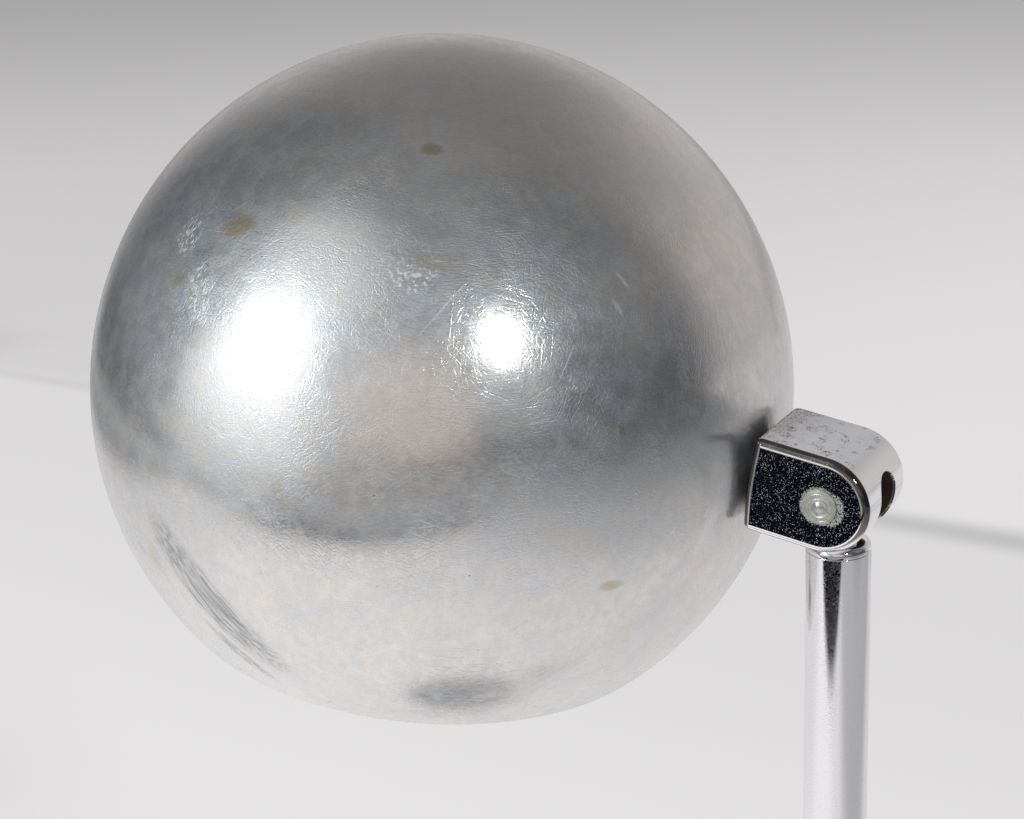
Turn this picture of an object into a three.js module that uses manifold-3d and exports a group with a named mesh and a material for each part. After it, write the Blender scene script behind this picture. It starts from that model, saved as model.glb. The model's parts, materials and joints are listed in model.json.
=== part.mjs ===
// Articulated desk lamp with a ball shade, in millimetres, +Z up.
// The origin is the middle of the base's underside. The lamp bends in the XZ plane: the shade
// reaches towards -X, the lower arm leans back towards +X, and the hinge pins lie along Y.
// One slotted knuckle is used three times, at the shoulder, the elbow and the head. Its block
// holds a riveted pin, and a flat tongue on the end of the next arm turns on that pin in the slot.

import * as THREE from "three";
import { mergeVertices, toCreasedNormals } from "three/addons/utils/BufferGeometryUtils.js";
import Module from "manifold-3d";

const wasm = await Module();
wasm.setup();

// ---- driving dimensions -------------------------------------------------------------------

const GAP = 0.3; // clearance kept between neighbouring solids

// Pose at rest, in degrees about +Y.
const LOWER_ARM_LEAN = 20;
const HEAD_TILT = 8.5;

// Arms: half-inch tube.
const TUBE_R = 6.35;
const TUBE_WALL = 1;
const ARM_LENGTH = 250; // pin to pin
const PLUG_R = TUBE_R - TUBE_WALL - GAP;
const PLUG_LENGTH = 16;
const PLUG_CHAMFER = 0.8;

// Knuckle block, in its own frame: the pin is the origin, +X runs from the flat end to the
// round end, Y is the pin and the slot opens towards -Z.
const BLOCK_BACK = 15.05; // pin to the middle of the flat end
const BLOCK_CROWN = 0.4; // the flat end falls back this far towards its corners
const BLOCK_HALF_HEIGHT = 9.6; // also the radius of the round end
const BLOCK_HALF_WIDTH = 10.2;
const BLOCK_CORNER = 1.4; // rounding of the flat end's two corners
const BLOCK_EDGE = 1.5; // rounding of the cheeks' edges
const SLOT_HALF_WIDTH = 3.8;
const SLOT_SHIFT = 0.8; // the slot lies this far off the block's middle plane
const SLOT_TOP = 11.7; // degrees above the block's axis, at the middle of the slot's end
const SLOT_BOTTOM = -99.5;
const POCKET_R = 5.6; // room for the tongue's eye

const PIN_R = 2.4;
const PIN_HOLE_R = PIN_R + GAP;
const PIN_HEAD_R = 3.5;
const PIN_HEAD_RECESS = 0.5;
const PIN_HEAD_RISE = 0.5; // how far the head's rim stands out of the cheek
const PIN_HEAD_CROWN = 0.3;
const PIN_HEAD_EDGE = 0.3;

const TONGUE_THICKNESS = 5;
const TONGUE_HALF_WIDTH = 3.5;
const TONGUE_EYE_R = 4.9;
const SHOULDER_DROP = 10.4; // pin to the face of the tongue's round shoulder
const SHOULDER_HEIGHT = 2;
const SHOULDER_EDGE = 1.4;
const TUBE_DROP = SHOULDER_DROP + SHOULDER_HEIGHT + GAP; // pin to the end of the tube
const LEAD_HOLE_R = 1.3; // lets the lead out of the tube, beside the tongue

// Hollow threaded lamp pipe.
const PIPE_R = 4.75;
const PIPE_BORE_R = 3;
const PIPE_HOLE_R = PIPE_R + GAP;
const PIPE_WASHER_THICKNESS = 1.2;

// Lead inside the lamp: two cores side by side.
const CORE_R = 1.2;
const CORE_SPREAD = 1.15;

// Shade, in the head's frame: same axes as the knuckle block.
const SHADE_R = 72.2;
const SHADE_WALL = 1;
const SHADE_X = -87.56; // pin to the middle of the ball, along the block
const SHADE_Z = -4.3; // the pipe enters this far above the ball's middle
const SHADE_RIM = 48; // the ball is cut off this far below its middle

// Base.
const BASE_R = 95;
const BASE_TOP = 26;
const BASE_EDGE = 7;
const COVER_WALL = 1.2;
const COVER_LIP_R = 92;
const COVER_BOTTOM = 1;
const COVER_HEM = 1;
const FELT_R = 91;
const FELT_THICKNESS = 2;
const PLATE_R = 93.3;
const PLATE_BOTTOM = COVER_BOTTOM + COVER_WALL + GAP;
const PLATE_THICKNESS = 1.5;
const WEIGHT_R = 92.8;
const WEIGHT_BOTTOM = PLATE_BOTTOM + PLATE_THICKNESS + GAP;
const WEIGHT_TOP = BASE_TOP - COVER_WALL - GAP;
const NUT_WELL_R = 17;
const NUT_WELL_TOP = 17;
const CHANNEL_HALF_WIDTH = 5.5;
const CHANNEL_TOP = 18;
const BASE_WASHER_R = 13;
const BASE_WASHER_THICKNESS = 1.5;
const BASE_NUT_SIZE = 16; // across flats
const BASE_NUT_HEIGHT = 4.2;
const BASE_LEAD_R = 1.6;

// Swivel on the base.
const COLLAR_R = 15;
const COLLAR_TOP = 34;
const COLLAR_FLARE_R = 5.6;
const FOOT_RIM_HEIGHT = 1.5; // the straight rim at the foot of the collar and of the post
const SWIVEL_WASHER_THICKNESS = 1.2;
const POST_BOTTOM = COLLAR_TOP + SWIVEL_WASHER_THICKNESS + 2 * GAP;
const POST_TOP = 64.8;
const POST_FOOT_R = 10;
const POST_FLARE_R = 3.85;
const POST_FLARE_TOP = POST_BOTTOM + 5.4;
const STUD_BOTTOM = NUT_WELL_TOP - 6.5;
const STUD_TOP = 52;
const GROOVE_Z = 46;
const GROOVE_HALF_HEIGHT = 2.4;
const GROOVE_R = 3.9;
const SWIVEL_LIMIT = 150;
const SCREW_TIP_DEGREES = 20; // what half the grub screw's tip takes up of the groove
const GRUB_R = 2;
const GRUB_TIP_R = 1.2;
const SHOULDER_Z = POST_TOP + GAP + BLOCK_BACK;

// Rotary switch, on the side of the base below the shade.
const SWITCH_X = -62;
const SWITCH_BODY_R = 11;
const SWITCH_BODY_BOTTOM = 8;
const SWITCH_NUT_R = 7;
const SWITCH_WELL_R = 13;
const SWITCH_SHAFT_R = 2.4;
const SWITCH_SHAFT_BOTTOM = BASE_TOP - 8 + GAP;
const KNOB_R = 8;
const KNOB_BOTTOM = BASE_TOP + 3.5;
const KNOB_TOP = KNOB_BOTTOM + 11;
const KNOB_EDGE = 1.2;
const KNOB_BORE_TOP = KNOB_TOP - 2.7;
const KNOB_FLUTES = 18;
const FLUTE_R = 0.7;
const FLUTE_BOTTOM = KNOB_BOTTOM + 1.5;
const FLUTE_CENTRE_R = KNOB_R + 0.25;

// Cord outlet, at the back of the base.
const OUTLET_Z = 12;
const OUTLET_R = 5.7;
const OUTLET_BORE_R = 3.6;
const OUTLET_LENGTH = 8;
const FLANGE_R = 7.5;
const FLANGE_THICKNESS = 2;
const FLANGE_EDGE = 0.8;

// Lamp holder and bulb, on the pipe's axis inside the ball. Lengths run inwards from the
// holder's back.
const SHADE_WASHER_R = 9;
const SHADE_NUT_SIZE = 14; // across flats
const SHADE_NUT_HEIGHT = 3.2;
const HOLDER_R = 17.5;
const CAP_NECK_R = 8;
const CAP_NECK_LENGTH = 5;
const CAP_DOME_R = 8.5; // radius of the dome's section
const CAP_WALL = 1.2;
const CAP_LENGTH = 17;
const SHELL_TOP = 45;
const SHELL_WALL = 1.6;
const SHELL_LIP_R = HOLDER_R + 0.8;
const SHELL_LIP_HEIGHT = 2.5;
const INSULATOR_BOTTOM = 18;
const INSULATOR_TOP = 23;
const TERMINAL_HOLE_R = 1.6;
const TERMINAL_OFFSET = 8;
const SCREW_R = 13.2;
const SCREW_SHELL_R = SCREW_R + 0.9;
const SCREW_SHELL_TOP = 43;
const SCREW_SHELL_WALL = 0.6;
const SHELL_HOLE_R = 5; // the hole round the centre contact
const CONTACT_R = 3.5;
const BULB_CAP_FOOT = 25;
const BULB_CAP_TOP = 46.5;
const BULB_CAP_WALL = 0.8;
const BULB_R = 24;
const BULB_LENGTH = 64;
const BULB_WALL = 1;
const BULB_NECK_R = SCREW_R - 0.4;

const CREASE = 0.6; // edges that turn by more than this, in radians, are shaded sharp

const deg = THREE.MathUtils.degToRad;

// ---- solids from three.js geometry --------------------------------------------------------

function solidOf(geometry) {
  const bare = new THREE.BufferGeometry();
  bare.setAttribute("position", geometry.getAttribute("position"));
  bare.setIndex(geometry.index);
  const merged = mergeVertices(bare, 1e-4);
  const corners = merged.index.array;
  const kept = [];
  for (let i = 0; i < corners.length; i += 3) {
    const [a, b, c] = corners.slice(i, i + 3);
    if (a !== b && b !== c && c !== a) {
      kept.push(a, b, c);
    }
  }
  const mesh = new wasm.Mesh({
    numProp: 3,
    vertProperties: merged.getAttribute("position").array,
    triVerts: new Uint32Array(kept),
  });
  return new wasm.Manifold(mesh);
}

function geometryOf(solid) {
  const { vertProperties, triVerts } = solid.getMesh();
  const geometry = new THREE.BufferGeometry();
  geometry.setAttribute("position", new THREE.BufferAttribute(vertProperties, 3));
  geometry.setIndex(new THREE.BufferAttribute(triVerts, 1));
  return geometry;
}

function join(first, ...others) {
  return geometryOf(others.reduce((sum, other) => sum.add(solidOf(other)), solidOf(first)));
}

function cut(body, ...tools) {
  return geometryOf(tools.reduce((rest, tool) => rest.subtract(solidOf(tool)), solidOf(body)));
}

// A profile of [radius, height] pairs turned about Z: up the outside, then down the inside or
// back to the axis.
function turned(profile, segments = 28) {
  const points = profile.map(([radius, height]) => new THREE.Vector2(radius, height));
  return new THREE.LatheGeometry(points, segments).rotateX(Math.PI / 2);
}

function rod(radius, bottom, top, segments = 20) {
  return turned([[0, bottom], [radius, bottom], [radius, top], [0, top]], segments);
}

function ring(outer, inner, bottom, top, segments = 20) {
  const profile = [[outer, bottom], [outer, top], [inner, top], [inner, bottom], [outer, bottom]];
  return turned(profile, segments);
}

// Points of an arc in a profile, from one angle to another, in degrees.
function arc(centreR, centreZ, radius, from, to, steps) {
  return Array.from({ length: steps + 1 }, (_, i) => {
    const angle = deg(from + ((to - from) * i) / steps);
    return [centreR + radius * Math.cos(angle), centreZ + radius * Math.sin(angle)];
  });
}

function outlineOf(points) {
  return new THREE.Shape(points.map(([x, y]) => new THREE.Vector2(x, y)));
}

// A shape drawn in the XZ plane, given its thickness along Y about a middle plane.
function plate(shape, middle, halfThickness, edge = 0) {
  const geometry = new THREE.ExtrudeGeometry(shape, {
    depth: 2 * (halfThickness - edge),
    bevelEnabled: edge > 0,
    bevelThickness: edge,
    bevelSize: edge,
    bevelOffset: -edge,
    bevelSegments: 2,
  });
  return geometry.rotateX(Math.PI / 2).translate(0, middle + halfThickness - edge, 0);
}

// A shape drawn in the XY plane, standing between two heights.
function upright(shape, bottom, top) {
  const options = { depth: top - bottom, bevelEnabled: false, curveSegments: 6 };
  return new THREE.ExtrudeGeometry(shape, options).translate(0, 0, bottom);
}

function box(x0, x1, y0, y1, z0, z1) {
  const geometry = new THREE.BoxGeometry(x1 - x0, y1 - y0, z1 - z0);
  return geometry.translate((x0 + x1) / 2, (y0 + y1) / 2, (z0 + z1) / 2);
}

const alongX = (geometry) => geometry.rotateY(Math.PI / 2);
const alongY = (geometry) => geometry.rotateX(-Math.PI / 2);

function hexagon(acrossFlats, bottom, top) {
  return rod(acrossFlats / Math.sqrt(3), bottom, top, 6);
}

// ---- materials ----------------------------------------------------------------------------

function metal(color, roughness) {
  return new THREE.MeshStandardMaterial({ color, roughness, metalness: 1 });
}

function plain(color, roughness) {
  return new THREE.MeshStandardMaterial({ color, roughness, metalness: 0 });
}

const satinAluminium = metal(0xb9b8b6, 0.32);
const chromePlate = metal(0xd9dadb, 0.06);
const castIron = metal(0x4a4846, 0.7);
const zincSteel = metal(0xa9abad, 0.35);
const brass = metal(0xb08d4a, 0.3);
const phenolic = plain(0x201b18, 0.4);
const fibre = plain(0x8a6a48, 0.8);
const felt = plain(0x1f2a24, 0.95);
const nylon = plain(0xd8d2c4, 0.5);
const opalGlass = plain(0xf1efe9, 0.25);
const leadJacket = plain(0x2b2724, 0.5);

// A named part: its geometry as one closed mesh, without the flat triangles that a lathe leaves
// on its axis, and with normals that are smooth except across sharp edges.
function piece(name, geometry, material) {
  const closed = geometryOf(solidOf(geometry));
  const mesh = new THREE.Mesh(toCreasedNormals(closed, CREASE), material);
  mesh.name = name;
  return mesh;
}

// ---- the knuckle --------------------------------------------------------------------------

function blockOutline() {
  const side = BLOCK_HALF_HEIGHT - BLOCK_CORNER;
  const crownR = (side ** 2 + BLOCK_CROWN ** 2) / (2 * BLOCK_CROWN);
  const crownHalf = THREE.MathUtils.radToDeg(Math.asin(side / crownR));
  const corner = BLOCK_CROWN + BLOCK_CORNER - BLOCK_BACK;
  return outlineOf([
    ...arc(0, 0, BLOCK_HALF_HEIGHT, -90, 90, 12),
    ...arc(corner, side, BLOCK_CORNER, 90, 180, 2),
    ...arc(crownR - BLOCK_BACK, 0, crownR, 180 - crownHalf, 180 + crownHalf, 4).slice(1, -1),
    ...arc(corner, -side, BLOCK_CORNER, 180, 270, 2),
  ]);
}

// What a round cutter of the slot's width removes as it swings about the pin.
function slotCutter() {
  const reach = 2 * BLOCK_BACK;
  const sector = outlineOf([[0, 0], ...arc(0, 0, reach, SLOT_BOTTOM, SLOT_TOP, 6)]);
  const cutterAt = (angle) =>
    alongX(rod(SLOT_HALF_WIDTH, 0, reach, 16)).rotateY(-deg(angle)).translate(0, SLOT_SHIFT, 0);
  const pocket = alongY(rod(POCKET_R, -SLOT_HALF_WIDTH, SLOT_HALF_WIDTH));
  return join(
    plate(sector, SLOT_SHIFT, SLOT_HALF_WIDTH),
    cutterAt(SLOT_TOP),
    cutterAt(SLOT_BOTTOM),
    pocket.translate(0, SLOT_SHIFT, 0),
  );
}

function knuckleBlock() {
  const cheekFace = BLOCK_HALF_WIDTH - PIN_HEAD_RECESS;
  const headWell = PIN_HEAD_R + GAP;
  return cut(
    plate(blockOutline(), 0, BLOCK_HALF_WIDTH, BLOCK_EDGE),
    slotCutter(),
    alongY(rod(PIN_HOLE_R, -2 * BLOCK_HALF_WIDTH, 2 * BLOCK_HALF_WIDTH, 16)),
    alongY(rod(headWell, cheekFace, 2 * BLOCK_HALF_WIDTH, 16)),
    alongY(rod(headWell, -2 * BLOCK_HALF_WIDTH, -cheekFace, 16)),
    alongX(rod(PIPE_HOLE_R, -2 * BLOCK_BACK, 0, 16)),
  );
}

// The rivet: a shank with a low turned head on each cheek.
function knucklePin() {
  const under = BLOCK_HALF_WIDTH - PIN_HEAD_RECESS + GAP;
  const face = BLOCK_HALF_WIDTH + PIN_HEAD_RISE;
  const half = [
    [PIN_R, under],
    [PIN_HEAD_R, under],
    [PIN_HEAD_R, face - PIN_HEAD_EDGE],
    [PIN_HEAD_R - PIN_HEAD_EDGE, face],
    [0, face + PIN_HEAD_CROWN],
  ];
  const mirrored = half.map(([radius, height]) => [radius, -height]).reverse();
  return alongY(turned([...mirrored, ...half], 16));
}

function frictionWasher(side) {
  const inner = TONGUE_THICKNESS / 2 + GAP;
  const outer = SLOT_HALF_WIDTH - GAP;
  const washer = alongY(ring(TONGUE_EYE_R - 0.2, PIN_HOLE_R, inner, outer, 16));
  if (side < 0) {
    washer.rotateX(Math.PI);
  }
  return washer.translate(0, SLOT_SHIFT, 0);
}

// The arm's end fitting, in the knuckle's frame with the tube running down towards -Z: an eye
// on the pin, a round neck with two flats, a round shoulder on the tube's end and a plug inside
// the tube.
function tongue() {
  const shoulderBottom = -SHOULDER_DROP - SHOULDER_HEIGHT;
  const plugBottom = -TUBE_DROP - PLUG_LENGTH;
  const rounded = arc(
    TUBE_R - SHOULDER_EDGE, -SHOULDER_DROP - SHOULDER_EDGE, SHOULDER_EDGE, 0, 90, 3,
  );
  const stem = turned([
    [0, plugBottom],
    [PLUG_R - PLUG_CHAMFER, plugBottom],
    [PLUG_R, plugBottom + PLUG_CHAMFER],
    [PLUG_R, shoulderBottom],
    [TUBE_R, shoulderBottom],
    ...rounded,
    [0, -SHOULDER_DROP],
  ], 20);
  const half = TONGUE_THICKNESS / 2;
  const flat = THREE.MathUtils.radToDeg(Math.asin(half / TONGUE_HALF_WIDTH));
  const neckSection = outlineOf([
    ...arc(0, 0, TONGUE_HALF_WIDTH, -flat, flat, 3),
    ...arc(0, 0, TONGUE_HALF_WIDTH, 180 - flat, 180 + flat, 3),
  ]);
  const neck = upright(neckSection, shoulderBottom, 0).translate(0, SLOT_SHIFT, 0);
  const eye = alongY(rod(TONGUE_EYE_R, -half, half)).translate(0, SLOT_SHIFT, 0);
  const holeY = SLOT_SHIFT - half - LEAD_HOLE_R - GAP;
  const leadHole = rod(LEAD_HOLE_R, shoulderBottom - 2, 0, 8).translate(0, holeY, 0);
  return cut(
    join(stem, neck, eye),
    alongY(rod(PIN_HOLE_R, -BLOCK_HALF_WIDTH, BLOCK_HALF_WIDTH, 16)),
    rod(PIPE_BORE_R, plugBottom - 1, shoulderBottom, 12),
    leadHole,
  );
}

// A knuckle's block, pin and friction washers, in the block's frame.
function knuckle(place) {
  const group = new THREE.Group();
  group.add(
    piece(`${place}_block`, knuckleBlock(), chromePlate),
    piece(`${place}_pin`, knucklePin(), zincSteel),
    piece(`${place}_washer_near`, frictionWasher(-1), nylon),
    piece(`${place}_washer_far`, frictionWasher(1), nylon),
  );
  return group;
}

// ---- base ---------------------------------------------------------------------------------

function baseCover() {
  const outerEdge = arc(BASE_R - BASE_EDGE, BASE_TOP - BASE_EDGE, BASE_EDGE, 0, 90, 4);
  const innerR = BASE_R - COVER_WALL;
  const innerEdge = arc(
    BASE_R - BASE_EDGE, BASE_TOP - BASE_EDGE, BASE_EDGE - COVER_WALL, 90, 0, 3,
  );
  const profile = [
    [COVER_LIP_R, COVER_BOTTOM],
    [BASE_R - COVER_HEM, COVER_BOTTOM],
    [BASE_R, COVER_BOTTOM + COVER_HEM],
    ...outerEdge,
    [PIPE_HOLE_R, BASE_TOP],
    [PIPE_HOLE_R, BASE_TOP - COVER_WALL],
    ...innerEdge,
    [innerR, COVER_BOTTOM + COVER_WALL],
    [COVER_LIP_R, COVER_BOTTOM + COVER_WALL],
    [COVER_LIP_R, COVER_BOTTOM],
  ];
  return cut(
    turned(profile, 48),
    rod(PIPE_HOLE_R, BASE_TOP - 2 * COVER_WALL, BASE_TOP + 1).translate(SWITCH_X, 0, 0),
    alongX(rod(OUTLET_R + GAP, innerR - 1, BASE_R + 1)).translate(0, 0, OUTLET_Z),
  );
}

function baseWeight() {
  const edge = BASE_EDGE - COVER_WALL - GAP;
  const corner = arc(WEIGHT_R - edge, WEIGHT_TOP - edge, edge, 0, 90, 3);
  const disc = turned(
    [[0, WEIGHT_BOTTOM], [WEIGHT_R, WEIGHT_BOTTOM], ...corner, [0, WEIGHT_TOP]], 36,
  );
  const outletRoom = rod(OUTLET_R + 3, BASE_R - OUTLET_LENGTH - 1, BASE_R + 1);
  return cut(
    disc,
    rod(PIPE_HOLE_R, 0, BASE_TOP),
    rod(NUT_WELL_R, 0, NUT_WELL_TOP),
    rod(SWITCH_WELL_R, 0, BASE_TOP).translate(SWITCH_X, 0, 0),
    box(SWITCH_X, BASE_R, -CHANNEL_HALF_WIDTH, CHANNEL_HALF_WIDTH, 0, CHANNEL_TOP),
    alongX(outletRoom).translate(0, 0, OUTLET_Z),
  );
}

// The hollow stud that clamps the base together and carries the swivel. The groove stops short
// of a full turn, and its two ends are the swivel's stops.
function baseStud() {
  const pipe = ring(PIPE_R, PIPE_BORE_R, STUD_BOTTOM, STUD_TOP);
  const groove = ring(
    PIPE_R + 1, GROOVE_R, GROOVE_Z - GROOVE_HALF_HEIGHT, GROOVE_Z + GROOVE_HALF_HEIGHT,
  );
  const halfStop = 180 - SWIVEL_LIMIT - SCREW_TIP_DEGREES;
  const stop = outlineOf([[0, 0], ...arc(0, 0, 2 * PIPE_R, 180 - halfStop, 180 + halfStop, 2)]);
  return cut(pipe, cut(groove, upright(stop, GROOVE_Z - PIPE_R, GROOVE_Z + PIPE_R)));
}

function baseCollar() {
  const foot = BASE_TOP + GAP;
  return turned([
    [PIPE_HOLE_R, foot],
    [COLLAR_R, foot],
    [COLLAR_R, foot + FOOT_RIM_HEIGHT],
    ...arc(COLLAR_R + 1, COLLAR_TOP - 0.8, COLLAR_FLARE_R, 240, 180, 3),
    [POST_FOOT_R, COLLAR_TOP],
    [PIPE_HOLE_R, COLLAR_TOP],
    [PIPE_HOLE_R, foot],
  ]);
}

function cordBushing() {
  const inside = BASE_R - OUTLET_LENGTH;
  const face = BASE_R + GAP;
  const front = face + FLANGE_THICKNESS;
  return alongX(turned([
    [OUTLET_BORE_R, inside],
    [OUTLET_R, inside],
    [OUTLET_R, face],
    [FLANGE_R, face],
    [FLANGE_R, front - FLANGE_EDGE],
    [FLANGE_R - FLANGE_EDGE, front],
    [OUTLET_BORE_R + FLANGE_EDGE, front],
    [OUTLET_BORE_R, front - FLANGE_EDGE],
    [OUTLET_BORE_R, inside],
  ], 24)).translate(0, 0, OUTLET_Z);
}

function switchBody() {
  const housing = rod(SWITCH_BODY_R, SWITCH_BODY_BOTTOM, WEIGHT_TOP);
  const neck = rod(PIPE_R, WEIGHT_TOP - 1, KNOB_BOTTOM - GAP);
  const bore = rod(SWITCH_SHAFT_R + GAP, SWITCH_SHAFT_BOTTOM - GAP, KNOB_TOP);
  return cut(join(housing, neck), bore).translate(SWITCH_X, 0, 0);
}

function switchNut() {
  const nut = ring(SWITCH_NUT_R, PIPE_HOLE_R, BASE_TOP + GAP, KNOB_BOTTOM - 3 * GAP);
  return nut.translate(SWITCH_X, 0, 0);
}

function switchShaft() {
  const shaft = rod(SWITCH_SHAFT_R, SWITCH_SHAFT_BOTTOM, KNOB_BORE_TOP - GAP);
  return shaft.translate(SWITCH_X, 0, 0);
}

// A fluted knob: round grooves cut down its side.
function switchKnob() {
  const body = turned([
    [0, KNOB_BOTTOM],
    [KNOB_R, KNOB_BOTTOM],
    [KNOB_R, KNOB_TOP - KNOB_EDGE],
    [KNOB_R - KNOB_EDGE, KNOB_TOP],
    [0, KNOB_TOP],
  ], 2 * KNOB_FLUTES);
  const flutes = Array.from({ length: KNOB_FLUTES }, (_, i) => {
    const angle = (2 * Math.PI * (i + 0.5)) / KNOB_FLUTES;
    const [x, y] = [FLUTE_CENTRE_R * Math.cos(angle), FLUTE_CENTRE_R * Math.sin(angle)];
    return rod(FLUTE_R, FLUTE_BOTTOM, KNOB_TOP + 1, 6).translate(x, y, 0);
  });
  const bore = rod(SWITCH_SHAFT_R + GAP, KNOB_BOTTOM - 1, KNOB_BORE_TOP);
  return cut(body, bore, ...flutes).translate(SWITCH_X, 0, 0);
}

// A round lead along a smooth curve through the given points.
function lead(points, radius, steps) {
  const path = new THREE.CatmullRomCurve3(points.map((point) => new THREE.Vector3(...point)));
  const section = new THREE.Shape().absarc(0, 0, radius, 0, 2 * Math.PI, false);
  return new THREE.ExtrudeGeometry(section, { steps, curveSegments: 3, extrudePath: path });
}

// The supply lead runs from the outlet to the switch, and the riser from the switch up the stud,
// side by side along the weight's channel.
function baseLeads() {
  const wellEdge = SWITCH_X + SWITCH_WELL_R;
  const low = PLATE_BOTTOM + PLATE_THICKNESS + BASE_LEAD_R + 2 * GAP;
  const side = BASE_LEAD_R + 0.8;
  const intoSwitch = wellEdge + 3;
  const offFloor = wellEdge + 12;
  const outletEnd = BASE_R - OUTLET_LENGTH - 4;
  const supply = lead([
    [outletEnd, 0, OUTLET_Z],
    [outletEnd - 6, 0, OUTLET_Z - 0.5],
    [outletEnd - 18, side / 2, low + 1],
    [45, side, low],
    [0, side, low],
    [offFloor, side, low],
    [intoSwitch, side, low + 3],
  ], BASE_LEAD_R, 20);
  const riser = lead([
    [intoSwitch, -side, low + 3],
    [offFloor, -side, low],
    [-16, -side, low],
    [-6, -side / 2, low + 0.2],
    [-1, -0.2, low + 2.6],
    [0, 0, low + 8],
    [0, 0, STUD_TOP - 22],
    [0, 0, STUD_TOP + 1],
  ], BASE_LEAD_R, 28);
  return [piece("supply_lead", supply, leadJacket), piece("riser_lead", riser, leadJacket)];
}

function makeBase() {
  const group = new THREE.Group();
  const washerTop = NUT_WELL_TOP - GAP;
  const washerBottom = washerTop - BASE_WASHER_THICKNESS;
  const nutTop = washerBottom - GAP;
  const hexagonBar = hexagon(BASE_NUT_SIZE, nutTop - BASE_NUT_HEIGHT, nutTop);
  const nut = cut(hexagonBar, rod(PIPE_HOLE_R, 0, BASE_TOP));
  group.add(
    piece("base_cover", baseCover(), satinAluminium),
    piece("base_weight", baseWeight(), castIron),
    piece("bottom_plate", rod(PLATE_R, PLATE_BOTTOM, PLATE_BOTTOM + PLATE_THICKNESS, 48), fibre),
    piece("felt_pad", rod(FELT_R, 0, FELT_THICKNESS, 48), felt),
    piece("base_stud", baseStud(), zincSteel),
    piece("base_washer", ring(BASE_WASHER_R, PIPE_HOLE_R, washerBottom, washerTop), zincSteel),
    piece("base_nut", nut, zincSteel),
    piece("base_collar", baseCollar(), chromePlate),
    piece("cord_bushing", cordBushing(), phenolic),
    piece("switch_body", switchBody(), zincSteel),
    piece("switch_nut", switchNut(), chromePlate),
    ...baseLeads(),
    piece("switch_shaft", switchShaft(), brass),
    piece("switch_knob", switchKnob(), chromePlate),
  );
  return group;
}

// ---- post and arms ------------------------------------------------------------------------

function postBody() {
  const post = turned([
    [PIPE_HOLE_R, POST_BOTTOM],
    [POST_FOOT_R, POST_BOTTOM],
    [POST_FOOT_R, POST_BOTTOM + FOOT_RIM_HEIGHT],
    ...arc(TUBE_R + POST_FLARE_R, POST_FLARE_TOP, POST_FLARE_R, 265, 180, 3),
    [TUBE_R, POST_TOP],
    [PIPE_HOLE_R, POST_TOP],
    [PIPE_HOLE_R, POST_BOTTOM],
  ], 24);
  const screwHole = alongX(rod(GRUB_R + GAP, 0, 2 * POST_FOOT_R, 16));
  return cut(post, screwHole.translate(0, 0, GROOVE_Z));
}

// The grub screw whose tip runs in the stud's groove.
function postScrew() {
  const tip = GROOVE_R + GAP;
  const end = TUBE_R - 0.1;
  const slotHalf = 0.4;
  const slotDepth = 0.7;
  const screw = turned([
    [0, tip],
    [GRUB_TIP_R, tip],
    [GRUB_R, tip + GRUB_R - GRUB_TIP_R],
    [GRUB_R, end],
    [0, end],
  ], 16);
  const slot = box(-slotHalf, slotHalf, -GRUB_R - 1, GRUB_R + 1, end - slotDepth, end + 1);
  return alongX(cut(screw, slot)).translate(0, 0, GROOVE_Z);
}

function makePost() {
  const group = new THREE.Group();
  const washerBottom = COLLAR_TOP + GAP;
  const nippleBottom = STUD_TOP + 2 + GAP;
  const nipple = ring(PIPE_R, PIPE_BORE_R, nippleBottom, SHOULDER_Z - POCKET_R - 1);
  const shoulder = knuckle("shoulder");
  shoulder.rotation.y = deg(-90);
  shoulder.position.z = SHOULDER_Z;
  group.add(
    piece(
      "swivel_washer",
      ring(POST_FOOT_R - 0.4, PIPE_HOLE_R, washerBottom, washerBottom + SWIVEL_WASHER_THICKNESS),
      nylon,
    ),
    piece("swivel_post", postBody(), chromePlate),
    piece("post_screw", postScrew(), zincSteel),
    piece("shoulder_nipple", nipple, zincSteel),
    shoulder,
  );
  return group;
}

function armTube(bottom, top) {
  return ring(TUBE_R, TUBE_R - TUBE_WALL, bottom, top, 28);
}

// The plug in the lower arm's top end, with the threaded spigot that holds the elbow's block.
function elbowSpigot() {
  const tubeTop = ARM_LENGTH - BLOCK_BACK - GAP;
  const tip = ARM_LENGTH - POCKET_R - 1;
  return turned([
    [PIPE_BORE_R, tubeTop - PLUG_LENGTH],
    [PLUG_R, tubeTop - PLUG_LENGTH],
    [PLUG_R, tubeTop - 0.5],
    [PIPE_R, tubeTop - 0.5],
    [PIPE_R, tip],
    [PIPE_BORE_R, tip],
    [PIPE_BORE_R, tubeTop - PLUG_LENGTH],
  ], 24);
}

function twinLead(bottom, top) {
  const section = new THREE.Shape();
  section.absarc(CORE_SPREAD, 0, CORE_R, -Math.PI / 2, Math.PI / 2, false);
  section.absarc(-CORE_SPREAD, 0, CORE_R, Math.PI / 2, 1.5 * Math.PI, false);
  section.closePath();
  return upright(section, bottom, top);
}

// An arm's frame has its lower pin at the origin and runs up +Z.
function makeLowerArm() {
  const group = new THREE.Group();
  const tubeTop = ARM_LENGTH - BLOCK_BACK - GAP;
  const foot = piece("lower_arm_tongue", tongue(), chromePlate);
  foot.rotation.y = Math.PI;
  const elbow = knuckle("elbow");
  elbow.rotation.set(Math.PI, deg(-90), 0, "YXZ");
  elbow.position.z = ARM_LENGTH;
  group.add(
    foot,
    piece("lower_arm_tube", armTube(TUBE_DROP, tubeTop), chromePlate),
    piece("lower_arm_lead", twinLead(TUBE_DROP + 1, ARM_LENGTH - POCKET_R - 2), leadJacket),
    piece("elbow_spigot", elbowSpigot(), zincSteel),
    elbow,
  );
  return group;
}

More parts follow.
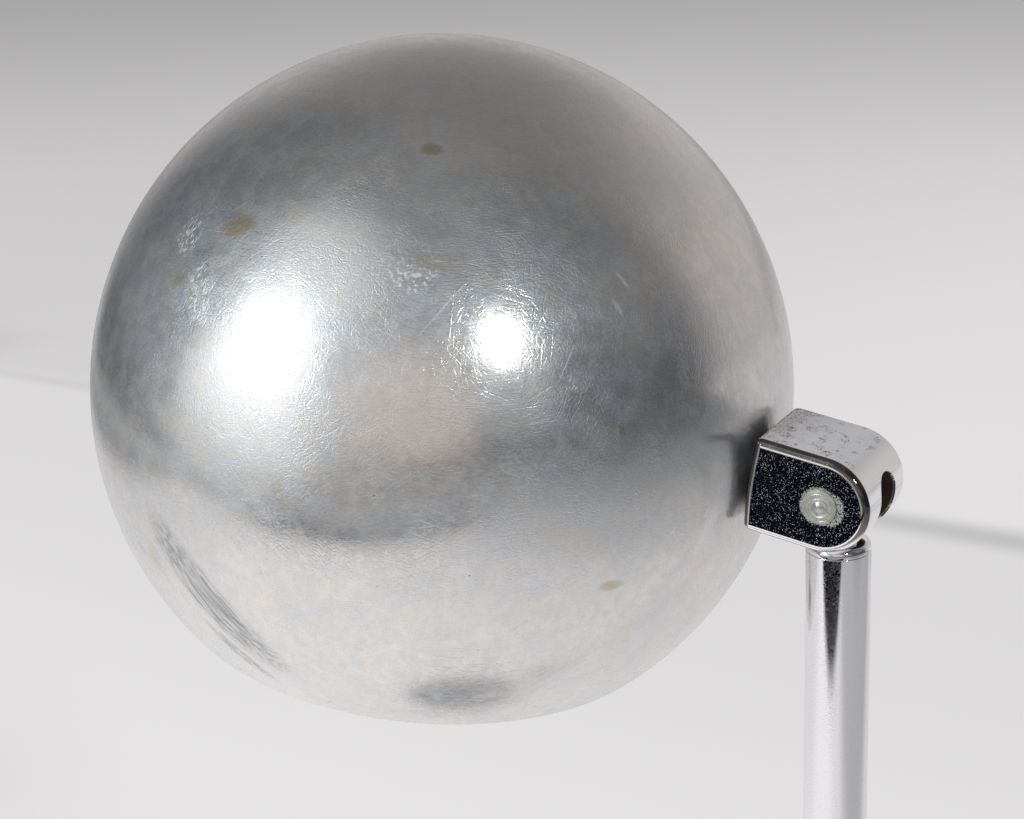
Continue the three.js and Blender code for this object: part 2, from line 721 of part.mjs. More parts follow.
function makeUpperArm() {
  const group = new THREE.Group();
  const foot = piece("upper_arm_foot_tongue", tongue(), chromePlate);
  foot.rotation.x = Math.PI;
  const top = piece("upper_arm_head_tongue", tongue(), chromePlate);
  top.position.z = ARM_LENGTH;
  group.add(
    foot,
    piece("upper_arm_tube", armTube(TUBE_DROP, ARM_LENGTH - TUBE_DROP), chromePlate),
    piece("upper_arm_lead", twinLead(TUBE_DROP + 1, ARM_LENGTH - TUBE_DROP - 1), leadJacket),
    top,
  );
  return group;
}

// ---- head ---------------------------------------------------------------------------------

// The shade: a spun ball with its lower part cut off square, its rim rounded over.
function shadeShell() {
  const innerR = SHADE_R - SHADE_WALL;
  const middleR = SHADE_R - SHADE_WALL / 2;
  const rim = -deg(90) + Math.acos(SHADE_RIM / middleR);
  const rimDegrees = THREE.MathUtils.radToDeg(rim);
  const rimR = middleR * Math.cos(rim);
  const rimZ = middleR * Math.sin(rim);
  const shell = turned([
    ...arc(0, 0, SHADE_R, rimDegrees, 90, 14),
    ...arc(0, 0, innerR, 90, rimDegrees, 10),
    ...arc(rimR, rimZ, SHADE_WALL / 2, rimDegrees - 180, rimDegrees, 2).slice(1),
  ], 44);
  const pipeHole = alongX(rod(PIPE_HOLE_R, -30, 0));
  return cut(shell.translate(SHADE_X, 0, SHADE_Z), pipeHole);
}

// The lamp holder's pieces are turned about the pipe, with heights measured inwards from the
// holder's back, which is then placed on the pipe inside the ball.
function inward(geometry, back) {
  return geometry.rotateY(-Math.PI / 2).translate(back, 0, 0);
}

function holderCap() {
  const domeX = HOLDER_R - CAP_DOME_R;
  const domeTop = CAP_LENGTH - 3;
  return turned([
    [PIPE_HOLE_R, 0],
    [CAP_NECK_R, 0],
    [CAP_NECK_R, CAP_NECK_LENGTH],
    ...arc(domeX, domeTop, CAP_DOME_R, 280, 360, 3),
    [HOLDER_R, CAP_LENGTH],
    [HOLDER_R - CAP_WALL, CAP_LENGTH],
    ...arc(domeX, domeTop, CAP_DOME_R - CAP_WALL, 360, 270, 3),
    [PIPE_HOLE_R, domeTop - CAP_DOME_R + CAP_WALL],
    [PIPE_HOLE_R, 0],
  ]);
}

function holderShell() {
  const bottom = CAP_LENGTH + GAP;
  const lip = SHELL_TOP - SHELL_LIP_HEIGHT;
  return turned([
    [HOLDER_R - SHELL_WALL, bottom],
    [HOLDER_R, bottom],
    [HOLDER_R, lip - 0.5],
    [SHELL_LIP_R, lip],
    [SHELL_LIP_R, SHELL_TOP],
    [HOLDER_R - SHELL_WALL, SHELL_TOP],
    [HOLDER_R - SHELL_WALL, bottom],
  ]);
}

function holderInsulator() {
  const terminalHole = (y) =>
    rod(TERMINAL_HOLE_R, INSULATOR_BOTTOM - 1, INSULATOR_TOP + 1, 12).translate(0, y, 0);
  return cut(
    rod(HOLDER_R - SHELL_WALL - GAP, INSULATOR_BOTTOM, INSULATOR_TOP, 28),
    terminalHole(TERMINAL_OFFSET),
    terminalHole(-TERMINAL_OFFSET),
  );
}

function screwShell() {
  const bottom = INSULATOR_TOP + GAP;
  const floor = bottom + SCREW_SHELL_WALL;
  return turned([
    [SHELL_HOLE_R, bottom],
    [SCREW_SHELL_R, bottom],
    [SCREW_SHELL_R, SCREW_SHELL_TOP],
    [SCREW_SHELL_R - SCREW_SHELL_WALL, SCREW_SHELL_TOP],
    [SCREW_SHELL_R - SCREW_SHELL_WALL, floor],
    [SHELL_HOLE_R, floor],
    [SHELL_HOLE_R, bottom],
  ], 24);
}

function centreContact() {
  return rod(CONTACT_R, INSULATOR_TOP + GAP, BULB_CAP_FOOT - 0.7, 16);
}

// The bulb's screw cap: a stepped foot that narrows to the contact, and a thin round wall.
function bulbCap() {
  const wallR = SCREW_R - BULB_CAP_WALL;
  return turned([
    [0, BULB_CAP_FOOT],
    [4, BULB_CAP_FOOT],
    [5.5, BULB_CAP_FOOT + 1],
    [10.5, BULB_CAP_FOOT + 3],
    [SCREW_R, BULB_CAP_FOOT + 4.5],
    [SCREW_R, BULB_CAP_TOP],
    [wallR, BULB_CAP_TOP],
    [wallR, BULB_CAP_FOOT + 5],
    [5, BULB_CAP_FOOT + 3],
    [0, BULB_CAP_FOOT + 3],
  ], 20);
}

// The bulb's outline at one of its two faces: a neck that flares into a ball.
function bulbOutline(inset) {
  const bottom = BULB_CAP_TOP + GAP;
  const middle = bottom + BULB_LENGTH - BULB_R;
  const neckR = BULB_NECK_R - inset;
  const ballR = BULB_R - inset;
  const neck = new THREE.CubicBezierCurve(
    new THREE.Vector2(neckR, bottom),
    new THREE.Vector2(neckR + 1, bottom + 16),
    new THREE.Vector2(ballR, middle - 20),
    new THREE.Vector2(ballR, middle),
  );
  const neckPoints = neck.getPoints(5).map((point) => [point.x, point.y]);
  return [...neckPoints, ...arc(0, middle, ballR, 0, 90, 4).slice(1)];
}

function bulbGlass() {
  const outside = bulbOutline(0);
  const inside = bulbOutline(BULB_WALL).reverse();
  return turned([...outside, ...inside, outside[0]], 24);
}

function makeHead() {
  const group = knuckle("head");
  const innerR = SHADE_R - SHADE_WALL;
  const touchR = SHADE_WASHER_R - SHADE_Z; // the washer's rim meets the wall at its lower side
  const wall = SHADE_X + Math.sqrt(innerR ** 2 - touchR ** 2);
  const washerFront = wall - 3 * GAP;
  const washerBack = washerFront - PIPE_WASHER_THICKNESS;
  const nutFront = washerBack - GAP;
  const holderBack = nutFront - SHADE_NUT_HEIGHT - GAP;
  const pipeTip = holderBack - 9;
  const nut = cut(hexagon(SHADE_NUT_SIZE, 0, SHADE_NUT_HEIGHT), rod(PIPE_HOLE_R, -1, 9));
  const pipe = alongX(ring(PIPE_R, PIPE_BORE_R, pipeTip, -POCKET_R - 1));
  const washer = alongX(ring(SHADE_WASHER_R, PIPE_HOLE_R, washerBack, washerFront));
  const leads = alongX(twinLead(holderBack - 17, -POCKET_R - 2));
  group.add(
    piece("shade", shadeShell(), satinAluminium),
    piece("shade_nipple", pipe, zincSteel),
    piece("shade_washer", washer, zincSteel),
    piece("shade_nut", inward(nut, nutFront), zincSteel),
    piece("holder_cap", inward(holderCap(), holderBack), phenolic),
    piece("holder_shell", inward(holderShell(), holderBack), phenolic),
    piece("holder_insulator", inward(holderInsulator(), holderBack), fibre),
    piece("screw_shell", inward(screwShell(), holderBack), brass),
    piece("centre_contact", inward(centreContact(), holderBack), brass),
    piece("bulb_cap", inward(bulbCap(), holderBack), brass),
    piece("bulb_glass", inward(bulbGlass(), holderBack), opalGlass),
    piece("head_lead", leads, leadJacket),
  );
  return group;
}

// ---- the lamp -----------------------------------------------------------------------------

function makeLamp() {
  const head = makeHead();
  head.position.z = ARM_LENGTH;
  head.rotation.y = deg(HEAD_TILT);

  const upperArm = makeUpperArm();
  upperArm.position.z = ARM_LENGTH;
  upperArm.rotation.y = deg(-LOWER_ARM_LEAN);
  upperArm.add(head);

  const lowerArm = makeLowerArm();
  lowerArm.position.z = SHOULDER_Z;
  lowerArm.rotation.y = deg(LOWER_ARM_LEAN);
  lowerArm.add(upperArm);

  const lamp = new THREE.Group();
  lamp.add(makeBase(), makePost(), lowerArm);
  return lamp;
}

export default makeLamp();
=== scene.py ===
import json
import math

import bmesh
import bpy
from mathutils import Matrix, Vector


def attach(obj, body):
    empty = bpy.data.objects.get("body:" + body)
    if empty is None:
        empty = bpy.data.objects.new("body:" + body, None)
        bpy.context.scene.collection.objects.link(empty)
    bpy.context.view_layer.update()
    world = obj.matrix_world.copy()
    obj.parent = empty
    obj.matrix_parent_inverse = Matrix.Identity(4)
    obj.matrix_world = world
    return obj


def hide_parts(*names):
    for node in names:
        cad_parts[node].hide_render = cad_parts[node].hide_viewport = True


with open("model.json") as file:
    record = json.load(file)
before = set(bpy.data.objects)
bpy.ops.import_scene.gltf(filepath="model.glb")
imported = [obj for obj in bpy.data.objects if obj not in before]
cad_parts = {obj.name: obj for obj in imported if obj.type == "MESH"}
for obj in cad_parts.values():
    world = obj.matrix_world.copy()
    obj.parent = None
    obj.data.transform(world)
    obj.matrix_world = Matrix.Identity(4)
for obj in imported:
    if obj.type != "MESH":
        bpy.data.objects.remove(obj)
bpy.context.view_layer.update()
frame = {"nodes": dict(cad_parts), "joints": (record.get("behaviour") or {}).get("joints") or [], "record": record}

# Lengths are in millimetres up to the point where a mesh is made. Places that a material tests,
# and those of the floor, the lamps and the camera, are in metres. Angles are in degrees.
MM = 0.001
GAP = 0.3  # the clearance between neighbouring pieces

LOWER_ARM_LEAN = 20
HEAD_TILT = 8.5

TUBE_R = 6.35
TUBE_WALL = 1
ARM_LENGTH = 250
PLUG_R = TUBE_R - TUBE_WALL - GAP
PLUG_LENGTH = 16

BLOCK_BACK = 15.05
BLOCK_CROWN = 0.4
BLOCK_HALF_HEIGHT = 9.6
BLOCK_HALF_WIDTH = 10.2
BLOCK_EDGE = 1.5
BLOCK_CORNER = 1.4
SLOT_HALF_WIDTH = 3.8
SLOT_SHIFT = 0.8
SLOT_TOP = 11.7
SLOT_BOTTOM = -99.5
POCKET_R = 5.6

PIN_R = 2.4
PIN_HEAD_R = 3.5
PIN_HEAD_RECESS = 0.5

TONGUE_HALF_THICKNESS = 2.5
TONGUE_HALF_WIDTH = 3.5
TONGUE_EYE_R = 4.9
SHOULDER_DROP = 10.4
SHOULDER_HEIGHT = 2
SHOULDER_EDGE = 1.4
TUBE_DROP = SHOULDER_DROP + SHOULDER_HEIGHT + GAP

PIPE_R = 4.75
PIPE_HOLE_R = PIPE_R + GAP

SHADE_R = 72.2
SHADE_WALL = 1
SHADE_X = -87.56
SHADE_Z = -4.3
SHADE_RIM = 48

BASE_R = 95
BASE_TOP = 26
BASE_EDGE = 7
COVER_WALL = 1.2
COVER_LIP_R = 92
COVER_BOTTOM = 1
FELT_R = 91
FELT_THICKNESS = 2

COLLAR_R = 15
COLLAR_TOP = 34
SWIVEL_WASHER_THICKNESS = 1.2
POST_BOTTOM = COLLAR_TOP + SWIVEL_WASHER_THICKNESS + 2 * GAP
POST_TOP = 64.8
POST_FOOT_R = 10

SWITCH_X = -62
KNOB_R = 8
KNOB_BOTTOM = BASE_TOP + 3.5
KNOB_TOP = KNOB_BOTTOM + 11
KNOB_FLUTES = 18

OUTLET_Z = 12
OUTLET_R = 5.7
OUTLET_BORE_R = 3.6

HOLDER_R = 17.5
SCREW_R = 13.2
BULB_R = 24
BULB_LENGTH = 64
BULB_CAP_TOP = 46.5

FINE = 128  # segments round a large turned piece
SMALL = 64  # segments round a small one
SMOOTH_ANGLE = 32  # edges sharper than this stay sharp


# ---- the frame: bodies, slots and places ----------------------------------------------------

record = frame["record"]
joint_at = {j["name"]: Vector(j["pos_m"]) for j in frame["joints"]}
body_of = {n: body for body, members in record["behaviour"]["bodies"].items() for n in members}
slot_of = {part["node"]: part["material_slot"] for part in record["subparts"]}


def turn(axis, angle):
    return Matrix.Rotation(math.radians(angle), 4, axis)


def shift(x=0, y=0, z=0):
    return Matrix.Translation(Vector((x, y, z)) * MM)


AT_BASE = Matrix.Identity(4)
AT_SHOULDER = Matrix.Translation(joint_at["shoulder_tilt"])
AT_ELBOW = Matrix.Translation(joint_at["elbow_fold"])
AT_HEAD = Matrix.Translation(joint_at["head_tilt"])

LOWER_ARM = AT_SHOULDER @ turn("Y", LOWER_ARM_LEAN)
UPPER_ARM = AT_ELBOW
HEAD = AT_HEAD @ turn("Y", HEAD_TILT)
SHOULDER_KNUCKLE = AT_SHOULDER @ turn("Y", -90)
ELBOW_KNUCKLE = AT_ELBOW @ turn("Y", LOWER_ARM_LEAN - 90) @ turn("X", 180)
BALL = HEAD @ shift(SHADE_X, 0, SHADE_Z)


# ---- mesh tools -----------------------------------------------------------------------------

def mesh_from(name, points, faces):
    """A closed mesh from points in millimetres, its faces turned outwards."""
    mesh = bpy.data.meshes.new(name)
    build = bmesh.new()
    corners = [build.verts.new(Vector(point) * MM) for point in points]
    for face in faces:
        build.faces.new([corners[i] for i in face])
    bmesh.ops.recalc_face_normals(build, faces=build.faces)
    build.to_mesh(mesh)
    build.free()
    return mesh


def fillet(before, corner, after, radius, steps):
    """Points of the arc that rounds one corner of a profile."""
    to_before = (before - corner).normalized()
    to_after = (after - corner).normalized()
    half = to_before.angle(to_after) / 2
    centre = corner + (to_before + to_after).normalized() * (radius / math.sin(half))
    reach = radius / math.tan(half)
    start = corner + to_before * reach - centre
    finish = corner + to_after * reach - centre
    swing = math.pi - 2 * half
    if start.x * finish.y - start.y * finish.x < 0:
        swing = -swing
    turns = [Matrix.Rotation(swing * i / steps, 2) for i in range(steps + 1)]
    return [centre + part_turn @ start for part_turn in turns]


def profile(*corners, steps=5):
    """A profile of (radius, height) or (radius, height, rounding) corners."""
    places = [Vector(corner[:2]) for corner in corners]
    made = []
    for i, corner in enumerate(corners):
        if len(corner) < 3:
            made.append(places[i])
            continue
        after = places[(i + 1) % len(places)]
        made.extend(fillet(places[i - 1], places[i], after, corner[2], steps))
    return [(point.x, point.y) for point in made]


def arc(centre_r, centre_z, radius, start, stop, steps):
    """Points of an arc in a profile."""
    points = []
    for i in range(steps + 1):
        angle = math.radians(start + (stop - start) * i / steps)
        points.append((centre_r + radius * math.cos(angle), centre_z + radius * math.sin(angle)))
    return points


def lathe(name, outline, segments=SMALL):
    """A profile turned about Z. It starts and ends on the axis, or it closes on itself."""
    points, rings = [], []
    for radius, height in outline:
        if radius < 1e-6:
            rings.append([len(points)] * segments)
            points.append((0, 0, height))
            continue
        rings.append(list(range(len(points), len(points) + segments)))
        for i in range(segments):
            angle = 2 * math.pi * i / segments
            points.append((radius * math.cos(angle), radius * math.sin(angle), height))
    open_ended = outline[0][0] < 1e-6
    pairs = list(zip(rings, rings[1:])) + ([] if open_ended else [(rings[-1], rings[0])])
    faces = []
    for low, high in pairs:
        for i in range(segments):
            j = (i + 1) % segments
            loop = [low[i], low[j], high[j], high[i]]
            kept = [v for k, v in enumerate(loop) if v != loop[k - 1]]
            if len(kept) > 2:
                faces.append(kept)
    return mesh_from(name, points, faces)


def loft(name, sections):
    """Closed sections of equal length, skinned and capped at both ends."""
    count = len(sections[0])
    points = [point for section in sections for point in section]
    faces = [list(range(count)), list(range((len(sections) - 1) * count, len(sections) * count))]
    for level in range(len(sections) - 1):
        low, high = level * count, (level + 1) * count
        for i in range(count):
            j = (i + 1) % count
            faces.append([low + i, low + j, high + j, high + i])
    return mesh_from(name, points, faces)


def along(axis, mesh):
    """Turns a mesh made about Z to lie along X, Y or -X."""
    turns = {"X": turn("Y", 90), "Y": turn("X", -90), "-X": turn("Y", -90)}
    mesh.transform(turns[axis])
    return mesh


def moved(mesh, x=0, y=0, z=0):
    mesh.transform(shift(x, y, z))
    return mesh


def linked(name, data):
    """A new object of the scene with this mesh, lamp or camera."""
    made = bpy.data.objects.new(name, data)
    bpy.context.scene.collection.objects.link(made)
    return made


def combined(mesh, cutters=(), additions=(), bevel=0, within=()):
    """The mesh with others cut from it or joined to it, or cut down to another, and bevelled."""
    work = linked("work", mesh)
    helpers = []
    steps = [("INTERSECT", other) for other in within]
    steps += [("UNION", other) for other in additions]
    steps += [("DIFFERENCE", other) for other in cutters]
    for operation, other in steps:
        helpers.append(linked("helper", other))
        modifier = work.modifiers.new("combine", "BOOLEAN")
        modifier.operation = operation
        modifier.solver = "EXACT"
        modifier.object = helpers[-1]
    if bevel:
        modifier = work.modifiers.new("bevel", "BEVEL")
        modifier.width = bevel * MM
        modifier.segments = 3
        modifier.limit_method = "ANGLE"
        modifier.angle_limit = math.radians(40)
    scene_graph = bpy.context.evaluated_depsgraph_get()
    result = bpy.data.meshes.new_from_object(work.evaluated_get(scene_graph))
    result.name = mesh.name
    for used in [work, *helpers]:
        bpy.data.objects.remove(used)
    return result


def stand_in(mesh, place, *nodes, material=None):
    """Shows a finely made piece in place of CAD nodes of one body, in their slot's material."""
    mesh.shade_smooth()
    mesh.set_sharp_from_angle(angle=math.radians(SMOOTH_ANGLE))
    mesh.materials.clear()
    mesh.materials.append(material or MATERIALS[slot_of[nodes[0]]])
    piece = linked(nodes[0] + "_detail", mesh)
    piece.matrix_world = place
    weighted = piece.modifiers.new("face weighted normals", "WEIGHTED_NORMAL")
    weighted.keep_sharp = True
    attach(piece, body_of[nodes[0]])
    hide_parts(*nodes)


def turned(node, place, *corners, segments=SMALL):
    """Shows a piece turned from a profile in place of its CAD node."""
    stand_in(lathe(node, profile(*corners), segments), place, node)


# ---- material tools -------------------------------------------------------------------------

SWAY = 24  # the length over which drawn-out streaks bend


def outward(longitude, latitude):
    """The direction from a ball's middle to a place on it."""
    lon, lat = math.radians(longitude), math.radians(latitude)
    return Vector((math.cos(lat) * math.cos(lon), math.cos(lat) * math.sin(lon), math.sin(lat)))


class Recipe:
    """The node tree of a new material, or of a world. Sizes of its textures are in millimetres."""

    def __init__(self, name, world=None):
        self.material = world or bpy.data.materials.new(name)
        self.material.use_nodes = True
        self.tree = self.material.node_tree
        self.shader = self.tree.nodes["Background" if world else "Principled BSDF"]
        coordinates = self.node("ShaderNodeTexCoord")
        self.place = coordinates.outputs["Generated" if world else "Object"]
        self.facing = coordinates.outputs["Normal"]

    def node(self, kind, **settings):
        made = self.tree.nodes.new(kind)
        for key, value in settings.items():
            setattr(made, key, value)
        return made

    def feed(self, socket, value):
        if isinstance(value, bpy.types.NodeSocket):
            self.tree.links.new(value, socket)
        elif socket.type == "RGBA" and len(value) == 3:
            socket.default_value = (*value, 1)
        else:
            socket.default_value = value

    def set(self, **values):
        """Sets or links the shader's own sockets, with _ for a space in their names."""
        for key, value in values.items():
            self.feed(self.shader.inputs[key.replace("_", " ")], value)

    def haze(self, share, **values):
        """Mixes in a second reflection, for example a rougher one."""
        first = self.shader
        mixer = self.node("ShaderNodeMixShader")
        self.shader = self.node("ShaderNodeBsdfPrincipled")
        self.set(**values)
        for socket, value in zip(mixer.inputs, (share, first.outputs[0], self.shader.outputs[0])):
            self.feed(socket, value)
        self.feed(self.tree.nodes["Material Output"].inputs["Surface"], mixer.outputs[0])
        self.shader = first

    def maths(self, operation, a, b=0.0):
        made = self.node("ShaderNodeMath", operation=operation)
        for socket, value in zip(made.inputs, (a, b)):
            self.feed(socket, value)
        return made.outputs[0]

    def plus(self, *terms):
        added = terms[0]
        for term in terms[1:]:
            added = self.maths("ADD", added, term)
        return added

    def times(self, *factors):
        product = factors[0]
        for factor in factors[1:]:
            product = self.maths("MULTIPLY", product, factor)
        return product

    def total(self, *masks):
        return self.maths("MINIMUM", self.plus(*masks), 1.0)

    def flip(self, share):
        """What a share leaves of 1."""
        return self.maths("SUBTRACT", 1.0, share)

    def vector(self, operation, a, b=(0, 0, 0)):
        made = self.node("ShaderNodeVectorMath", operation=operation)
        self.feed(made.inputs[0], a)
        self.feed(made.inputs[1], b)
        return made.outputs["Value" if operation in ("DOT_PRODUCT", "LENGTH") else "Vector"]

    def step(self, value, low, high, start=0.0, stop=1.0):
        """A smooth step from start to stop as value goes from low to high."""
        made = self.node("ShaderNodeMapRange", interpolation_type="SMOOTHSTEP")
        for socket, given in zip(made.inputs, (value, low, high, start, stop)):
            self.feed(socket, given)
        return made.outputs[0]

    def towards(self, *direction):
        """How far the shaded point lies in a direction, in metres."""
        return self.vector("DOT_PRODUCT", self.place, direction)

    def stretched(self, x, y, z):
        return self.vector("MULTIPLY", self.place, (x, y, z))

    def texture(self, kind, size, place=None):
        made = self.node(kind)
        self.feed(made.inputs["Vector"], place or self.place)
        made.inputs["Scale"].default_value = 1 / (size * MM)
        return made

    def noise(self, size, detail=2.0, roughness=0.5, place=None):
        made = self.texture("ShaderNodeTexNoise", size, place)
        made.inputs["Detail"].default_value = detail
        made.inputs["Roughness"].default_value = roughness
        return made.outputs[0]

    def cells(self, size):
        """The distance from the middle of the nearest cell, as a share of a cell's size."""
        return self.texture("ShaderNodeTexVoronoi", size).outputs["Distance"]

    def blend(self, share, a, b):
        made = self.node("ShaderNodeMix", data_type="RGBA")
        self.feed(made.inputs["Factor"], share)
        for socket, value in zip([s for s in made.inputs if s.type == "RGBA"], (a, b)):
            self.feed(socket, value)
        return [s for s in made.outputs if s.type == "RGBA"][0]

    def bump(self, height, depth):
        """Bump from a height of 0 to 1 that stands for depth millimetres."""
        made = self.node("ShaderNodeBump")
        made.inputs["Strength"].default_value = 1
        made.inputs["Distance"].default_value = depth * MM
        self.feed(made.inputs["Height"], height)
        return made.outputs[0]

    def finished(self, colour, roughness, relief, depth, metallic=0.0):
        """The material, with its main values set."""
        self.set(Base_Color=colour, Metallic=metallic, Roughness=roughness)
        self.set(Normal=self.bump(relief, depth))
        return self.material

    def streaks(self, direction, width, length, bend=0.0):
        """Noise drawn out along a direction in space, and how far the surface runs that way."""
        axis = Vector(direction).normalized()
        place = self.place
        if bend:
            sway = self.texture("ShaderNodeTexNoise", SWAY)
            sway.inputs["Detail"].default_value = 0
            swayed = self.vector("MULTIPLY", sway.outputs["Color"], [bend * MM] * 3)
            place = self.vector("ADD", place, swayed)
        drawn = self.node("ShaderNodeMapping", vector_type="TEXTURE")
        self.feed(drawn.inputs["Vector"], place)
        drawn.inputs["Rotation"].default_value = axis.to_track_quat("Z", "Y").to_euler()
        drawn.inputs["Scale"].default_value = (1, 1, length / width)
        tangent = self.maths("ABSOLUTE", self.vector("DOT_PRODUCT", self.facing, axis))
        return self.noise(width, 0, 0.5, drawn.outputs[0]), self.step(tangent, 0.75, 0.35)

    def hairlines(self, size):
        """Long curved hairlines: the middle contour of a smooth noise."""
        off_middle = self.maths("ABSOLUTE", self.maths("SUBTRACT", self.noise(size, 0.6), 0.5))
        return self.step(off_middle, 0.003, 0.0)

    def patch(self, longitude, latitude, size, stretch=1.0, lean=0.0, share=1.0):
        """A soft oval on a ball, worth share inside and 0 outside."""
        out = outward(longitude, latitude)
        side = outward(longitude + 90, 0)
        side.rotate(Matrix.Rotation(math.radians(lean), 3, out))
        u = self.times(self.towards(*side), 1 / (size * stretch * MM))
        v = self.times(self.towards(*out.cross(side)), 1 / (size * MM))
        facing = self.step(self.towards(*out), 0.0, 0.02)
        inside = self.step(self.plus(self.times(u, u), self.times(v, v)), 1.3, 0.2, 0.0, share)
        return self.times(facing, inside)

    def patches(self, *rows):
        """Soft ovals together. A row holds what patch takes."""
        return self.total(*[self.patch(*row) for row in rows])


# ---- materials ------------------------------------------------------------------------------

ALUMINIUM = (0.83, 0.775, 0.72)
COOL = (0.66, 0.70, 0.735)
HAZE = (0.66, 0.695, 0.735)
TARNISH = (0.50, 0.42, 0.27)
YELLOWED = (0.80, 0.75, 0.61)
GRAZED = (0.33, 0.345, 0.35)
GRIME = (0.06, 0.045, 0.035)

# The view's right, its upward and its far direction. Hand polishing ran mostly across the view.
ACROSS = Vector((0.866, 0.5, 0.0))
UPWARD = Vector((-0.172, 0.298, 0.939))
AWAY = Vector((-0.470, 0.813, -0.344))


def polish_directions():
    """Directions in which the metal was rubbed: a fan in the view's plane, and three others."""
    fan = []
    for i, lean in enumerate((0.12, -0.2, 0.05, 0.22, -0.1, 0.16, -0.06)):
        angle = math.radians(11 + i * 180 / 7)
        fan.append(ACROSS * math.cos(angle) + UPWARD * math.sin(angle) + AWAY * lean)
    return [*fan, AWAY, AWAY + 0.8 * UPWARD, AWAY - 0.9 * ACROSS]


def satin_aluminium(name, marks):
    """Spun aluminium, polished by hand until it is covered with fine scratches, and worn."""
    r = Recipe(name)
    cloud = r.noise(22, 4, 0.55)
    mottle = r.noise(1.7, 3, 0.65, r.stretched(1, 1, 0.6))
    grain = r.noise(0.55, 2, 0.6)
    fog = r.step(r.noise(4.5, 4, 0.62), 0.40, 0.62)

    fine, deep = [], []
    for i, direction in enumerate(polish_directions()):
        lines, tangent = r.streaks(direction, 0.34 + 0.04 * (i % 4), 20 + 5 * (i % 3), 1.5)
        fine.append(r.times(lines, tangent))
        deep.append(r.times(r.step(lines, 0.62, 0.82), tangent))
    fine, deep = r.plus(*fine), r.total(*deep)
    brushed, _ = r.streaks(ACROSS, 0.24, 1.7, 1.2)
    brushed = r.step(brushed, 0.40, 0.62)
    worked = r.step(r.noise(9, 2), 0.32, 0.62, 0.35, 1.0)

    scuffs, smudges, speckle, cuts, graze = marks(r)
    random_smudge = r.times(
        r.step(r.noise(19, 2, 0.5, r.stretched(1, 1, 0.7)), 0.68, 0.74),
        r.step(r.noise(4, 2), 0.4, 0.6),
    )
    dots = r.step(r.cells(5.2), 0.035, 0.02)
    pits = r.times(dots, r.step(r.noise(24, 1), 0.55, 0.6))

    darker = tuple(0.86 * c for c in ALUMINIUM)
    colour = r.blend(r.step(cloud, 0.35, 0.7), ALUMINIUM, tuple(0.93 * c for c in ALUMINIUM))
    colour = r.blend(r.times(r.step(r.noise(3.4, 4, 0.6), 0.42, 0.60), 0.45), colour, COOL)
    colour = r.blend(r.times(r.step(r.noise(2.6, 4, 0.65), 0.50, 0.64), 0.30), colour, YELLOWED)
    colour = r.blend(r.times(r.step(mottle, 0.40, 0.64), 0.8), colour, darker)
    smeared = r.maths("MAXIMUM", smudges, r.times(random_smudge, 0.3))
    colour = r.blend(smeared, colour, TARNISH)
    colour = r.blend(graze, colour, GRAZED)
    colour = r.blend(r.plus(pits, speckle), colour, GRIME)

    roughness = r.plus(
        0.135,
        r.times(r.step(mottle, 0.35, 0.68), 0.06),
        r.times(cloud, 0.03),
        r.times(smeared, 0.15),
        r.times(graze, 0.10),
    )
    flaws = r.plus(r.times(scuffs, 0.4), r.times(pits, -0.8))
    relief = r.plus(r.times(fine, 0.10), r.times(deep, worked, -0.42), flaws)
    r.set(Base_Color=colour, Metallic=1.0, Roughness=roughness, Normal=r.bump(relief, 0.03))
    veil = r.plus(
        0.24,
        r.times(r.step(cloud, 0.38, 0.62), 0.12),
        r.times(fog, 0.16),
        r.times(r.step(grain, 0.35, 0.7), 0.05),
        r.times(brushed, 0.11),
        r.times(deep, worked, 0.05),
        r.times(scuffs, 0.65),
        r.times(cuts, 0.35),
    )
    bright = r.blend(r.times(r.step(r.noise(5.5, 3, 0.6), 0.46, 0.62), 0.30), HAZE, YELLOWED)
    bright = r.blend(graze, r.blend(smeared, bright, TARNISH), GRAZED)
    bright = r.blend(scuffs, bright, (0.90, 0.90, 0.88))
    relief = r.plus(
        r.times(fine, 0.42),
        r.times(brushed, 0.32),
        r.times(deep, worked, -0.85),
        r.times(cuts, -0.6),
        flaws,
    )
    r.haze(
        r.maths("MINIMUM", veil, 0.9),
        Base_Color=r.blend(r.plus(pits, speckle), bright, GRIME),
        Metallic=1.0,
        Roughness=r.plus(0.48, r.times(scuffs, 0.12)),
        Normal=r.bump(relief, 0.03),
    )
    return r.material


